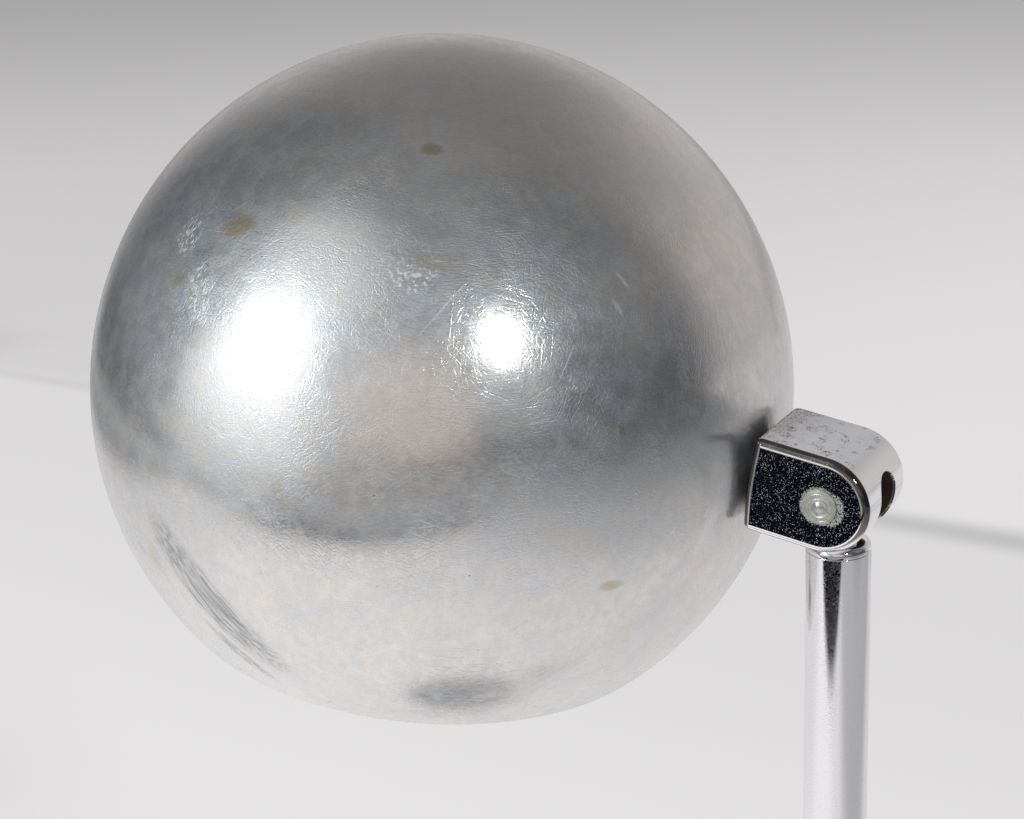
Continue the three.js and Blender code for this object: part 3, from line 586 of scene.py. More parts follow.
def ball_marks(r):
    """Wear on the ball: scuffs, yellowed smudges, speckle, cuts and a graze."""
    rubbed, _ = r.streaks(ACROSS * 0.5 + UPWARD * 0.87, 0.24, 1.3, 0.6)
    rubbed = r.times(r.step(rubbed, 0.48, 0.66), r.step(r.noise(0.9, 3, 0.7), 0.40, 0.56))
    crazed = r.step(r.noise(0.75, 4, 0.7, r.stretched(1, 1, 1.3)), 0.50, 0.66)
    rubbed = r.times(rubbed, r.patches(
        (-117, 34.5, 4.6, 0.8, 30),
        (-107, 28.5, 6.5, 0.6, 30, 0.6),
        (-41, 24, 3.0, 0.4, 40, 0.5),
        (-22, 44, 2.4, 0.5, -40, 0.5),
    ))
    crazed = r.times(crazed, r.patches(
        (-68, 38.4, 3.0, 1.5, 10),
        (-70, 40.5, 5.0, 1.4, 10, 0.4),
        (-107, 28.5, 6.5, 0.7, 30, 0.3),
        (-54, -1, 1.6, 1.5, 0, 0.4),
    ))
    scraped = r.patches(
        (-67.5, 38.8, 0.5, 2.2, 12, 0.6),
        (-28.5, 38.1, 0.45, 4.5, -62, 0.5),
        (-30.9, 34.3, 0.5, 4.5, -66, 0.45),
        (-39.8, 34.2, 0.3, 6.0, -62, 0.3),
    )
    smudges = r.times(0.75, r.patches(
        (-106, 39, 2.2, 1.9, 40),
        (-70, 59.5, 1.6, 1.4),
        (-113, 28, 1.2, 2.0, 50, 0.6),
        (-33, -7.5, 1.3, 2.2, 0, 0.8),
        (-33, 17, 1.4, 0.5, 10),
        (-62, 41, 2.2, 5.0, -8, 0.35),
    ))
    near_knuckle = r.times(r.patch(-8, 17, 17, 1.0, 0.0, 0.45), r.step(r.noise(5, 2), 0.5, 0.62))
    peppered = r.step(r.cells(0.9), 0.16, 0.08)
    speckle = r.times(peppered, r.plus(near_knuckle, r.patch(-38.3, 51.9, 0.7)))
    cuts = r.patches(
        (-62.0, 34.7, 0.15, 49, -126.1),
        (-46.3, 23.0, 0.18, 16, -149.3, 0.8),
        (-41.8, 27.0, 0.18, 21, -118.0, 0.8),
    )
    strokes, _ = r.streaks(outward(-88.5, -33) - outward(-111.2, -10.4), 0.32, 10, 2.0)
    graze = r.times(r.step(strokes, 0.42, 0.58, 0.20, 1.0), r.patches(
        (-97.5, -20, 5.6, 3.7, -46.8),
        (-95.5, -31, 1.8, 5.5, -44, 0.8),
    ))
    return r.plus(rubbed, crazed, scraped), smudges, speckle, cuts, graze


def base_marks(r):
    """Wear on the base: a few rubbed patches near its edge."""
    out = r.vector("LENGTH", r.stretched(1, 1, 0))
    rim = r.step(out, (BASE_R - BASE_EDGE) * MM, (BASE_R - 0.5) * MM)
    rubbed = r.times(rim, r.step(r.noise(6, 4, 0.7), 0.56, 0.64))
    smudges = r.times(0.5, r.step(r.noise(24, 3, 0.6), 0.64, 0.72))
    speckle = r.times(r.step(r.cells(1.4), 0.12, 0.06), r.step(r.noise(11, 2), 0.6, 0.68))
    cuts = r.step(r.hairlines(26), 0.5, 1.0)
    return r.times(0.3, rubbed), smudges, speckle, cuts, r.times(rim, 0.1)


CHROME = (0.86, 0.86, 0.87)
RUST = (0.13, 0.085, 0.05)
RESIDUE = (0.36, 0.37, 0.29)


def chrome(name, speck=1.0, where=None, extras=None):
    """Polished plating with fine pits that scatter the light."""
    r = Recipe(name)
    small = r.step(r.cells(0.30), 0.30, 0.16)
    large = r.step(r.cells(0.52), 0.25, 0.14)
    clumps = r.step(r.noise(1.6, 3, 0.65), 0.30, 0.62)
    specks = r.times(speck, r.maths("MAXIMUM", r.times(small, 0.45), r.times(large, 0.7)), clumps)
    if where is not None:
        specks = r.times(specks, where(r))
    colour = r.blend(specks, CHROME, (0.38, 0.39, 0.45))
    roughness = r.plus(0.025, r.times(specks, 0.45))
    metallic = r.flip(r.times(specks, 0.75))
    relief = r.plus(r.times(specks, -0.12), r.times(r.noise(9, 1), 0.4))
    if extras is not None:
        for share, tint, dulling, kept_metal in extras(r):
            colour = r.blend(share, colour, tint)
            roughness = r.plus(roughness, r.times(share, dulling))
            metallic = r.times(metallic, r.flip(r.times(share, 1 - kept_metal)))
    return r.finished(colour, roughness, relief, 0.012, metallic)


def on_cheeks(r):
    """1 on the block's two flat cheeks."""
    off_middle = r.maths("ABSOLUTE", r.towards(0, 1, 0))
    return r.step(off_middle, (BLOCK_HALF_WIDTH - 0.5) * MM, (BLOCK_HALF_WIDTH - 0.1) * MM)


def block_wear_and_painted_light(r):
    """Dulled, pitted plating on top, residue round the pin, painted edge reflections, painted slot shade."""
    x, y, z = r.towards(1, 0, 0), r.towards(0, 1, 0), r.towards(0, 0, 1)
    off_middle = r.maths("ABSOLUTE", y)
    on_top = r.step(z, (BLOCK_HALF_HEIGHT - 1.6) * MM, (BLOCK_HALF_HEIGHT - 0.6) * MM)
    inboard = r.step(off_middle, (BLOCK_HALF_WIDTH - 0.9) * MM, (BLOCK_HALF_WIDTH - 1.5) * MM)
    dulled = r.times(on_top, inboard, r.step(r.noise(3.5, 3, 0.6), 0.3, 0.6, 0.80, 0.92))
    by_flat_end = r.step(x, -5.5 * MM, -11.5 * MM)
    lace = r.times(
        r.step(r.noise(0.42, 3, 0.6), 0.50, 0.56),
        r.step(r.plus(r.noise(2.6, 2), r.times(by_flat_end, 0.16)), 0.55, 0.66),
    )
    elsewhere = r.vector("ADD", r.place, (0.01, 0.004, 0.0))
    flakes = r.times(
        r.step(r.noise(0.75, 3, 0.7), 0.53, 0.58),
        r.step(r.noise(2.7, 1, 0.5, elsewhere), 0.60, 0.66),
    )
    past_middle = r.maths("MAXIMUM", x, 0.0)
    from_axis = r.maths("SQRT", r.plus(r.times(past_middle, past_middle), r.times(z, z)))
    off_slot = r.maths("ABSOLUTE", r.maths("SUBTRACT", y, SLOT_SHIFT * MM))
    in_slot = r.times(
        r.step(from_axis, (BLOCK_HALF_HEIGHT - 0.1) * MM, (BLOCK_HALF_HEIGHT - 0.6) * MM),
        r.step(off_slot, (SLOT_HALF_WIDTH + 0.2) * MM, SLOT_HALF_WIDTH * MM),
    )
    # Painted shade: the inside of the slot is near black.
    painted_slot_shade = r.blend(r.noise(0.8, 3, 0.6), (0.012, 0.010, 0.009), (0.06, 0.035, 0.02))
    out = r.vector("LENGTH", r.stretched(1, 0, 1))
    towards_end = r.step(r.maths("DIVIDE", x, out), 0.4, 0.95)
    reach = r.plus(
        (PIN_HEAD_R + 0.1) * MM, r.times(r.noise(0.9, 2), 0.6 * MM), r.times(towards_end, 1.0 * MM),
    )
    ring = r.times(
        r.step(r.maths("SUBTRACT", out, reach), 0.2 * MM, -0.3 * MM),
        r.step(r.noise(0.35, 3, 0.6), 0.38, 0.58),
        r.step(off_middle, 8.5 * MM, 9.5 * MM),
    )
    sideways = r.maths("ABSOLUTE", r.vector("DOT_PRODUCT", r.facing, (0, 1, 0)))
    upwards = r.vector("DOT_PRODUCT", r.facing, (0, 0, 1))
    # Painted reflection: the rounded edges round the top and the round end are tinted dark brown, for the dark
    # room that they would mirror.
    rounding = r.times(
        r.step(sideways, 0.10, 0.25), r.step(sideways, 0.985, 0.95), r.step(upwards, -0.45, -0.2),
    )
    # Painted reflection: a red-brown line along the lower rounded edge, for a red-brown thing that it would
    # mirror.
    painted_underside_reflection = r.times(r.step(upwards, -0.55, -0.66), r.step(sideways, 0.3, 0.4))
    brown = r.blend(r.noise(1.2, 2), (0.045, 0.036, 0.032), (0.13, 0.105, 0.085))
    return [
        # share, tint, dulling, metal kept
        (dulled, (0.97, 0.955, 0.98), 0.30, 0.15),
        (r.times(rounding, 0.9), brown, 0.04, 1.0),
        (r.times(painted_underside_reflection, 0.8), (0.20, 0.075, 0.035), 0.2, 0.4),
        (r.times(on_top, lace, 0.7), (0.22, 0.18, 0.14), 0.35, 0.5),
        (r.times(on_top, flakes, 0.85), RUST, 0.45, 0.4),
        (in_slot, painted_slot_shade, 0.5, 0.3),
        (r.times(ring, 0.6), RESIDUE, 0.5, 0.3),
    ]


def tube_chrome():
    """Plated tube: a mirror with slanting polish lines and a little dust."""
    r = Recipe("tube_chrome")
    hatch, _ = r.streaks((0.80, -0.42, 0.42), 0.17, 1.6)
    second, _ = r.streaks((0.62, -0.30, -0.72), 0.20, 2.2)
    lines = r.plus(r.step(hatch, 0.52, 0.66), r.times(r.step(second, 0.58, 0.70), 0.5))
    dust = r.times(r.step(r.cells(1.6), 0.07, 0.035), 0.8)
    colour = r.blend(r.plus(r.times(lines, 0.10), dust), (0.81, 0.795, 0.815), (0.62, 0.61, 0.60))
    roughness = r.plus(0.02, r.times(lines, 0.02), r.times(dust, 0.4))
    metallic = r.flip(r.plus(r.times(lines, 0.06), r.times(dust, 0.6)))
    relief = r.plus(r.times(lines, -0.15), r.times(r.noise(16, 1), 0.5), r.times(dust, -0.4))
    return r.finished(colour, roughness, relief, 0.006, metallic)


def turned_steel(name, pitch=0.42, dull=0.0):
    """Zinc-plated steel with turning rings about its own axis, dulled by a grey-green film."""
    r = Recipe(name)
    out = r.vector("LENGTH", r.stretched(1, 1, 0))
    rings = r.maths("SINE", r.times(out, 2 * math.pi / (pitch * MM)))
    cloud = r.noise(1.1, 3)
    colour = r.blend(r.step(cloud, 0.4, 0.65), (0.58, 0.58, 0.57), (0.42, 0.41, 0.38))
    film = r.times(
        dull,
        r.plus(0.22, r.times(r.step(out, 0.0014, 0.0031), 0.62)),
        r.step(cloud, 0.25, 0.6, 0.6, 1.0),
    )
    colour = r.blend(film, colour, RESIDUE)
    roughness = r.plus(0.22, r.times(cloud, 0.10), r.times(film, 0.30))
    metallic = r.flip(r.times(film, 0.75))
    relief = r.plus(r.times(rings, 0.3), r.times(r.noise(0.25, 2), 0.9))
    return r.finished(colour, roughness, relief, 0.012, metallic)


def plain_metal(name, light, dark, base_roughness, depth):
    """A dull metal with cloudy patches and a light grain."""
    r = Recipe(name)
    cloud = r.noise(4, 4, 0.6)
    grain = r.noise(0.5, 3, 0.6)
    colour = r.blend(r.step(cloud, 0.35, 0.7), light, dark)
    roughness = r.plus(base_roughness, r.times(cloud, 0.15))
    return r.finished(colour, roughness, grain, depth, 1.0)


def moulded(name, light, dark, base_roughness, depth):
    """A moulded or pressed piece that isn't metal, with a faint mottle and grain."""
    r = Recipe(name)
    mottle = r.noise(2.5, 4, 0.6)
    grain = r.noise(0.35, 3, 0.6)
    colour = r.blend(r.step(mottle, 0.35, 0.7), light, dark)
    roughness = r.plus(base_roughness, r.times(grain, 0.14))
    return r.finished(colour, roughness, grain, depth)


def felt():
    """Pressed wool felt: matted fibres with a soft sheen."""
    r = Recipe("felt")
    fibres = r.plus(
        r.noise(0.5, 4, 0.7, r.stretched(1, 0.25, 1)),
        r.noise(0.5, 4, 0.7, r.stretched(0.25, 1, 1)),
    )
    colour = r.blend(r.step(fibres, 0.8, 1.25), (0.020, 0.036, 0.028), (0.055, 0.085, 0.068))
    r.set(Sheen_Weight=0.4, Sheen_Roughness=0.6)
    return r.finished(colour, 0.95, fibres, 0.25)


def opal_glass():
    """A bulb coated white inside: pale and glossy, with light spreading inside the glass."""
    r = Recipe("opal_glass")
    cloud = r.noise(12, 3)
    colour = r.blend(cloud, (0.88, 0.87, 0.84), (0.82, 0.81, 0.78))
    roughness = r.plus(0.12, r.times(cloud, 0.08))
    r.set(Subsurface_Weight=0.35, Subsurface_Scale=0.004)
    return r.finished(colour, roughness, r.noise(6, 1), 0.01)


MATERIALS = {  # by the record's slots
    "shade_aluminium": satin_aluminium("shade_aluminium", ball_marks),
    "base_aluminium": satin_aluminium("base_aluminium", base_marks),
    "chrome_plate": chrome("turned_chrome", 0.25),
    "steel": turned_steel("zinc_steel"),
    "brass": plain_metal("brass", (0.74, 0.57, 0.30), (0.58, 0.42, 0.20), 0.22, 0.006),
    "cast_iron": plain_metal("cast_iron", (0.16, 0.155, 0.15), (0.09, 0.085, 0.08), 0.55, 0.12),
    "phenolic": moulded("phenolic", (0.030, 0.021, 0.017), (0.016, 0.012, 0.010), 0.24, 0.006),
    "fibreboard": moulded("fibreboard", (0.30, 0.20, 0.11), (0.20, 0.13, 0.07), 0.75, 0.05),
    "nylon": moulded("nylon", (0.66, 0.62, 0.53), (0.58, 0.54, 0.46), 0.38, 0.01),
    "lead_jacket": moulded(
        "lead_jacket", (0.035, 0.030, 0.026), (0.022, 0.019, 0.017), 0.45, 0.01,
    ),
    "felt": felt(),
    "opal_glass": opal_glass(),
}
BLOCK_CHROME = chrome("block_chrome", 1.0, on_cheeks, block_wear_and_painted_light)
TUBE_CHROME = tube_chrome()
PIN_STEEL = turned_steel("pin_steel", 0.36, 1.0)

for node_name, node_object in frame["nodes"].items():
    node_object.data.materials.clear()
    node_object.data.materials.append(MATERIALS[slot_of[node_name]])


# ---- the knuckles ---------------------------------------------------------------------------

def block_section(y, inset):
    """The block's outline at one place across it, drawn in by inset."""
    side = BLOCK_HALF_HEIGHT - BLOCK_CORNER
    crown_r = (side ** 2 + BLOCK_CROWN ** 2) / (2 * BLOCK_CROWN)
    crown_half = math.degrees(math.asin(side / crown_r))
    crown_x = crown_r - BLOCK_BACK
    corner_x = BLOCK_CROWN + BLOCK_CORNER - BLOCK_BACK
    corner = BLOCK_CORNER - inset
    outline = [
        *arc(0, 0, BLOCK_HALF_HEIGHT - inset, -90, 90, 72),
        *arc(corner_x, side, corner, 90, 180, 8),
        *arc(crown_x, 0, crown_r - inset, 180 - crown_half, 180 + crown_half, 12)[1:-1],
        *arc(corner_x, -side, corner, 180, 270, 8),
    ]
    return [(x, y, z) for x, z in outline]


def block_body():
    steps = 8
    near = []
    for i in range(steps + 1):
        angle = math.pi / 2 * i / steps
        inset = BLOCK_EDGE * (1 - math.sin(angle))
        near.append((-BLOCK_HALF_WIDTH + BLOCK_EDGE * (1 - math.cos(angle)), inset))
    far = [(-y, inset) for y, inset in reversed(near)]
    return loft("block", [block_section(y, inset) for y, inset in near + far])


def cylinder(radius, bottom, top, segments=SMALL):
    return lathe("cylinder", [(0, bottom), (radius, bottom), (radius, top), (0, top)], segments)


def slot_cutters():
    """The cutter's two end places, the sector it sweeps and the pocket at the pin."""
    reach = 2 * BLOCK_BACK
    fan = [(0, 0), *arc(0, 0, reach, SLOT_BOTTOM, SLOT_TOP, 24)]
    faces = [SLOT_SHIFT - SLOT_HALF_WIDTH, SLOT_SHIFT + SLOT_HALF_WIDTH]
    made = [loft("sector", [[(x, y, z) for x, z in fan] for y in faces])]
    for angle in (SLOT_TOP, SLOT_BOTTOM):
        rod = along("X", cylinder(SLOT_HALF_WIDTH, 0, reach))
        rod.transform(turn("Y", -angle))
        made.append(moved(rod, y=SLOT_SHIFT))
    pocket = along("Y", cylinder(POCKET_R, -SLOT_HALF_WIDTH, SLOT_HALF_WIDTH))
    made.append(moved(pocket, y=SLOT_SHIFT))
    return made


def block_mesh():
    well_face = BLOCK_HALF_WIDTH - PIN_HEAD_RECESS
    far_side = 2 * BLOCK_HALF_WIDTH
    return combined(block_body(), [
        *slot_cutters(),
        along("Y", cylinder(PIN_HEAD_R + 0.04, well_face, far_side)),
        along("Y", cylinder(PIN_HEAD_R + 0.04, -far_side, -well_face)),
        along("Y", cylinder(PIN_R + GAP, -far_side, far_side, 32)),
        along("X", cylinder(PIPE_HOLE_R, -2 * BLOCK_BACK, -2, 48)),
    ], bevel=0.18)


def pin_mesh():
    """The rivet: a shank and two turned heads, each with a rolled edge and a domed middle."""
    under = BLOCK_HALF_WIDTH - PIN_HEAD_RECESS + GAP
    face = BLOCK_HALF_WIDTH + 0.5
    half = [
        (PIN_R, under), (PIN_HEAD_R, under, 0.1), (PIN_HEAD_R, face - 0.12, 0.3),
        (2.9, face, 0.2), (2.75, face - 0.07, 0.06), (2.55, face + 0.02, 0.06),
        (2.0, face - 0.02, 0.06), (1.85, face - 0.09, 0.06), (1.65, face - 0.02, 0.06),
        (1.3, face - 0.06, 0.1), *arc(0, face - 1.5, 1.8, 52, 90, 8)[:-1], (0, face + 0.3),
    ]
    mirrored = [(corner[0], -corner[1], *corner[2:]) for corner in reversed(half)]
    return along("Y", lathe("pin", profile(*mirrored, *half), SMALL))


def tongue_mesh():
    """The arm's end: an eye on the pin, a flatted neck, a round shoulder and a plug."""
    shoulder_bottom = -SHOULDER_DROP - SHOULDER_HEIGHT
    plug_bottom = -TUBE_DROP - PLUG_LENGTH
    stem = lathe("tongue", [
        (0, plug_bottom), (PLUG_R - 0.8, plug_bottom), (PLUG_R, plug_bottom + 0.8),
        (PLUG_R, shoulder_bottom), (TUBE_R - 0.08, shoulder_bottom),
        (TUBE_R, shoulder_bottom + 0.08),
        *arc(TUBE_R - SHOULDER_EDGE, -SHOULDER_DROP - SHOULDER_EDGE, SHOULDER_EDGE, 0, 90, 8),
        (0, -SHOULDER_DROP),
    ], 96)
    flat = math.degrees(math.asin(TONGUE_HALF_THICKNESS / TONGUE_HALF_WIDTH))
    section = [
        *arc(0, 0, TONGUE_HALF_WIDTH, -flat, flat, 16),
        *arc(0, 0, TONGUE_HALF_WIDTH, 180 - flat, 180 + flat, 16),
    ]
    neck = loft("neck", [[(x, y, z) for x, y in section] for z in (shoulder_bottom, 0)])
    half = TONGUE_HALF_THICKNESS
    eye = along("Y", cylinder(TONGUE_EYE_R, -half, half, 96))
    hole = along("Y", cylinder(PIN_R + GAP, -2 * half - 5, 2 * half + 5, 48))
    return combined(stem, [hole], [moved(neck, y=SLOT_SHIFT), moved(eye, y=SLOT_SHIFT)], bevel=0.15)


def washer_mesh(side):
    inner = TONGUE_HALF_THICKNESS + GAP
    outer = SLOT_HALF_WIDTH - GAP
    radius = TONGUE_EYE_R - 0.2
    ring = along("Y", lathe("washer", profile(
        (radius, inner, 0.2), (radius, outer, 0.2),
        (PIN_R + GAP, outer, 0.1), (PIN_R + GAP, inner, 0.1),
    )))
    if side < 0:
        ring.transform(turn("X", 180))
    return moved(ring, y=SLOT_SHIFT)


PIN_AXIS = turn("X", -90)
for place_name, place in (
    ("shoulder", SHOULDER_KNUCKLE), ("elbow", ELBOW_KNUCKLE), ("head", HEAD),
):
    stand_in(block_mesh(), place, f"{place_name}_block", material=BLOCK_CHROME)
    rivet = pin_mesh()
    rivet.transform(PIN_AXIS.inverted())
    stand_in(rivet, place @ PIN_AXIS, f"{place_name}_pin", material=PIN_STEEL)
    stand_in(washer_mesh(-1), place, f"{place_name}_washer_near")
    stand_in(washer_mesh(1), place, f"{place_name}_washer_far")

stand_in(tongue_mesh(), LOWER_ARM @ turn("Y", 180), "lower_arm_tongue")
stand_in(tongue_mesh(), UPPER_ARM @ turn("X", 180), "upper_arm_foot_tongue")
stand_in(tongue_mesh(), AT_HEAD, "upper_arm_head_tongue")


# ---- the arms and the post ------------------------------------------------------------------

def tube_mesh(bottom, top):
    """A tube with its ends broken slightly. It is shown pushed up to the fittings' shoulders."""
    reach = GAP - 0.02
    return lathe("tube", profile(
        (TUBE_R, bottom - reach, 0.1), (TUBE_R, top + reach, 0.1),
        (TUBE_R - TUBE_WALL, top + reach, 0.1), (TUBE_R - TUBE_WALL, bottom - reach, 0.1), steps=3,
    ), FINE)


for node, place, top in (
    ("lower_arm_tube", LOWER_ARM, ARM_LENGTH - BLOCK_BACK - GAP),
    ("upper_arm_tube", UPPER_ARM, ARM_LENGTH - TUBE_DROP),
):
    stand_in(tube_mesh(TUBE_DROP, top), place, node, material=TUBE_CHROME)

turned(
    "swivel_post", AT_BASE,
    (PIPE_HOLE_R, POST_BOTTOM), (POST_FOOT_R, POST_BOTTOM, 0.3),
    (POST_FOOT_R, POST_BOTTOM + 1.5, 0.15),
    *arc(POST_FOOT_R + 0.2, POST_BOTTOM + 5.4, 3.85, 262, 180, 14),
    (TUBE_R, POST_TOP, 0.25), (PIPE_HOLE_R, POST_TOP), segments=FINE,
)

turned(
    "swivel_washer", AT_BASE,
    (POST_FOOT_R - 0.4, COLLAR_TOP + GAP, 0.3), (POST_FOOT_R - 0.4, POST_BOTTOM - GAP, 0.3),
    (PIPE_HOLE_R, POST_BOTTOM - GAP), (PIPE_HOLE_R, COLLAR_TOP + GAP),
)


# ---- the base -------------------------------------------------------------------------------

def cover_mesh():
    inner_r = BASE_R - COVER_WALL
    middle_r = BASE_R - BASE_EDGE
    middle_z = BASE_TOP - BASE_EDGE
    shell = lathe("cover", [
        (COVER_LIP_R, COVER_BOTTOM),
        *arc(BASE_R - 1, COVER_BOTTOM + 1, 1, -90, 0, 5),
        *arc(middle_r, middle_z, BASE_EDGE, 0, 90, 18),
        (60, BASE_TOP), (30, BASE_TOP),  # two rings more keep the flat top's faces even
        (PIPE_HOLE_R, BASE_TOP),
        (PIPE_HOLE_R, BASE_TOP - COVER_WALL),
        *arc(middle_r, middle_z, BASE_EDGE - COVER_WALL, 90, 0, 12),
        (inner_r, COVER_BOTTOM + COVER_WALL),
        (COVER_LIP_R, COVER_BOTTOM + COVER_WALL),
    ], 192)
    switch_hole = moved(cylinder(PIPE_HOLE_R, BASE_TOP - 5, BASE_TOP + 5), x=SWITCH_X)
    outlet = moved(along("X", cylinder(OUTLET_R + GAP, BASE_R - 5, BASE_R + 5)), z=OUTLET_Z)
    return combined(shell, [switch_hole, outlet])


def knob_section(radius, z, fluted):
    """A round outline with a shallow round groove between every two ribs."""
    per_flute = 14
    groove_half = 0.30  # share of the pitch
    depth = 0.42
    points = []
    for i in range(KNOB_FLUTES * per_flute):
        offset = abs((i / per_flute) % 1 - 0.5) / groove_half
        dip = depth * math.sqrt(1 - offset ** 2) if fluted and offset < 1 else 0
        angle = 2 * math.pi * i / (KNOB_FLUTES * per_flute)
        points.append(((radius - dip) * math.cos(angle), (radius - dip) * math.sin(angle), z))
    return points


def knob_mesh():
    """The knob: a plain foot, a fluted grip that rounds over, and a dished top."""
    edge = 1.2
    foot = [(KNOB_R - 0.25, KNOB_BOTTOM), (KNOB_R, KNOB_BOTTOM + 0.25), (KNOB_R, KNOB_BOTTOM + 1.3)]
    grip = [(KNOB_R, KNOB_BOTTOM + 1.7), *arc(KNOB_R - edge, KNOB_TOP - edge, edge, 0, 75, 5)]
    body = loft("knob", [
        *[knob_section(*ring, False) for ring in foot],
        *[knob_section(*ring, True) for ring in grip],
        knob_section(KNOB_R - edge, KNOB_TOP, False),
    ])
    low, high = KNOB_TOP - 0.35, KNOB_TOP + 0.25
    dish = lathe("dish", [(0, low), (4.2, low), (4.8, high), (0, high)])
    bore = cylinder(2.7, KNOB_BOTTOM - 1, KNOB_TOP - 2.7, 48)
    return combined(body, [dish, bore])


AT_SWITCH = shift(SWITCH_X)
stand_in(cover_mesh(), AT_BASE, "base_cover")
turned(
    "felt_pad", AT_BASE,
    (0, 0), (45, 0), (FELT_R, 0, 0.8), (FELT_R, FELT_THICKNESS, 0.5),
    (45, FELT_THICKNESS), (0, FELT_THICKNESS), segments=192,
)
turned(
    "base_collar", AT_BASE,
    (PIPE_HOLE_R, BASE_TOP + GAP), (COLLAR_R, BASE_TOP + GAP, 0.3),
    (COLLAR_R, BASE_TOP + GAP + 1.5, 0.4),
    *arc(COLLAR_R + 1, COLLAR_TOP - 0.8, 5.6, 242, 184, 12),
    (POST_FOOT_R, COLLAR_TOP, 0.25), (PIPE_HOLE_R, COLLAR_TOP), segments=FINE,
)
stand_in(knob_mesh(), AT_SWITCH, "switch_knob")
turned(
    "switch_nut", AT_SWITCH,
    (PIPE_HOLE_R, BASE_TOP + GAP), (7, BASE_TOP + GAP, 0.2), (7, KNOB_BOTTOM - 3 * GAP, 0.5),
    (PIPE_HOLE_R, KNOB_BOTTOM - 3 * GAP), segments=96,
)

flange_r = OUTLET_R + 1.8
outlet_face = BASE_R + GAP
stand_in(moved(along("X", lathe("bushing", profile(
    (OUTLET_BORE_R, BASE_R - 8, 0.3), (OUTLET_R, BASE_R - 8, 0.4), (OUTLET_R, outlet_face),
    (flange_r, outlet_face, 0.15), (flange_r, outlet_face + 2, 0.9),
    (OUTLET_BORE_R, outlet_face + 2, 0.9),
))), z=OUTLET_Z), AT_BASE, "cord_bushing")


# ---- the head -------------------------------------------------------------------------------

def shade_mesh():
    """The spun ball in its own frame, its middle the origin, with its rim rounded over."""
    middle_r = SHADE_R - SHADE_WALL / 2
    rim = -math.degrees(math.asin(SHADE_RIM / middle_r))
    rim_r = middle_r * math.cos(math.radians(rim))
    rim_z = middle_r * math.sin(math.radians(rim))
    return lathe("shade", [
        (0, SHADE_R),
        *arc(0, 0, SHADE_R, 90, rim, 110)[1:],
        *arc(rim_r, rim_z, SHADE_WALL / 2, rim, rim - 180, 8)[1:-1],
        *arc(0, 0, SHADE_R - SHADE_WALL, rim, 90, 90)[:-1],
        (0, SHADE_R - SHADE_WALL),
    ], 256)


washer_r = 9
washer_thickness = 1.2
nut_size = 14  # across its flats
nut_thickness = 3.2
washer_front = SHADE_X - 3 * GAP + math.sqrt(
    (SHADE_R - SHADE_WALL) ** 2 - (washer_r - SHADE_Z) ** 2
)
washer_back = washer_front - washer_thickness
nut_front = washer_back - GAP
holder_back = nut_front - nut_thickness - GAP
INWARD = HEAD @ shift(holder_back) @ turn("Y", -90)


def nut_mesh(size, thickness, bore):
    """A hexagon nut with its corners turned off on both faces."""
    corner_r = size / math.sqrt(3)
    face_r = size / 2 - 0.1
    chamfer = lathe("chamfer", [
        (0, -0.01), (face_r, -0.01), (corner_r + 0.1, 0.75), (corner_r + 0.1, thickness - 0.75),
        (face_r, thickness + 0.01), (0, thickness + 0.01),
    ], 72)
    hole = cylinder(bore, -1, thickness + 1, 48)
    return combined(cylinder(corner_r, 0, thickness, 6), [hole], within=[chamfer])


stand_in(shade_mesh(), BALL, "shade")

cap_neck_r = 8
cap_top = 17
cap_wall = 1.2
dome_r = HOLDER_R - 9
turned(
    "holder_cap", INWARD,
    (PIPE_HOLE_R, 0), (cap_neck_r, 0, 0.6), (cap_neck_r, 5.5, 0.3),
    *arc(9, 14, dome_r, 278, 360, 18),
    (HOLDER_R, cap_top, 0.2), (HOLDER_R - cap_wall, cap_top),
    *arc(9, 14, dome_r - cap_wall, 360, 270, 12),
    (PIPE_HOLE_R, 14 - dome_r + cap_wall), segments=96,
)
shell_bottom = cap_top + GAP
shell_top = 45
turned(
    "holder_shell", INWARD,
    (HOLDER_R - 1.6, shell_bottom), (HOLDER_R, shell_bottom, 0.3),
    (HOLDER_R, shell_top - 3.2, 0.4), (HOLDER_R + 0.8, shell_top - 2.6, 0.3),
    (HOLDER_R + 0.8, shell_top, 0.6), (HOLDER_R - 1.6, shell_top, 0.5), segments=96,
)

nut = nut_mesh(nut_size, nut_thickness, PIPE_HOLE_R)
stand_in(nut, HEAD @ shift(nut_front) @ turn("Y", -90), "shade_nut")
stand_in(along("X", lathe("shade_washer", profile(
    (washer_r, washer_back, 0.2), (washer_r, washer_front, 0.2),
    (PIPE_HOLE_R, washer_front), (PIPE_HOLE_R, washer_back),
), 96)), HEAD, "shade_washer")

foot = 25
roll_depth = 0.45
roll_pitch = 3.2
rolls = []
for i in range(4 * 8 + 1):
    sunk = roll_depth * (1 - math.cos(math.radians(45 * i))) / 2
    rolls.append((SCREW_R - sunk, foot + 6 + roll_pitch * i / 8))
stand_in(lathe("bulb_cap", [
    (0, foot), (4, foot), (5.5, foot + 1), (10.5, foot + 3), (SCREW_R, foot + 4.5),
    *rolls,
    (SCREW_R, BULB_CAP_TOP - 0.5), (SCREW_R - 0.2, BULB_CAP_TOP),
    (SCREW_R - 0.8, BULB_CAP_TOP), (SCREW_R - 0.8, foot + 5), (5, foot + 3), (0, foot + 3),
], 96), INWARD, "bulb_cap")


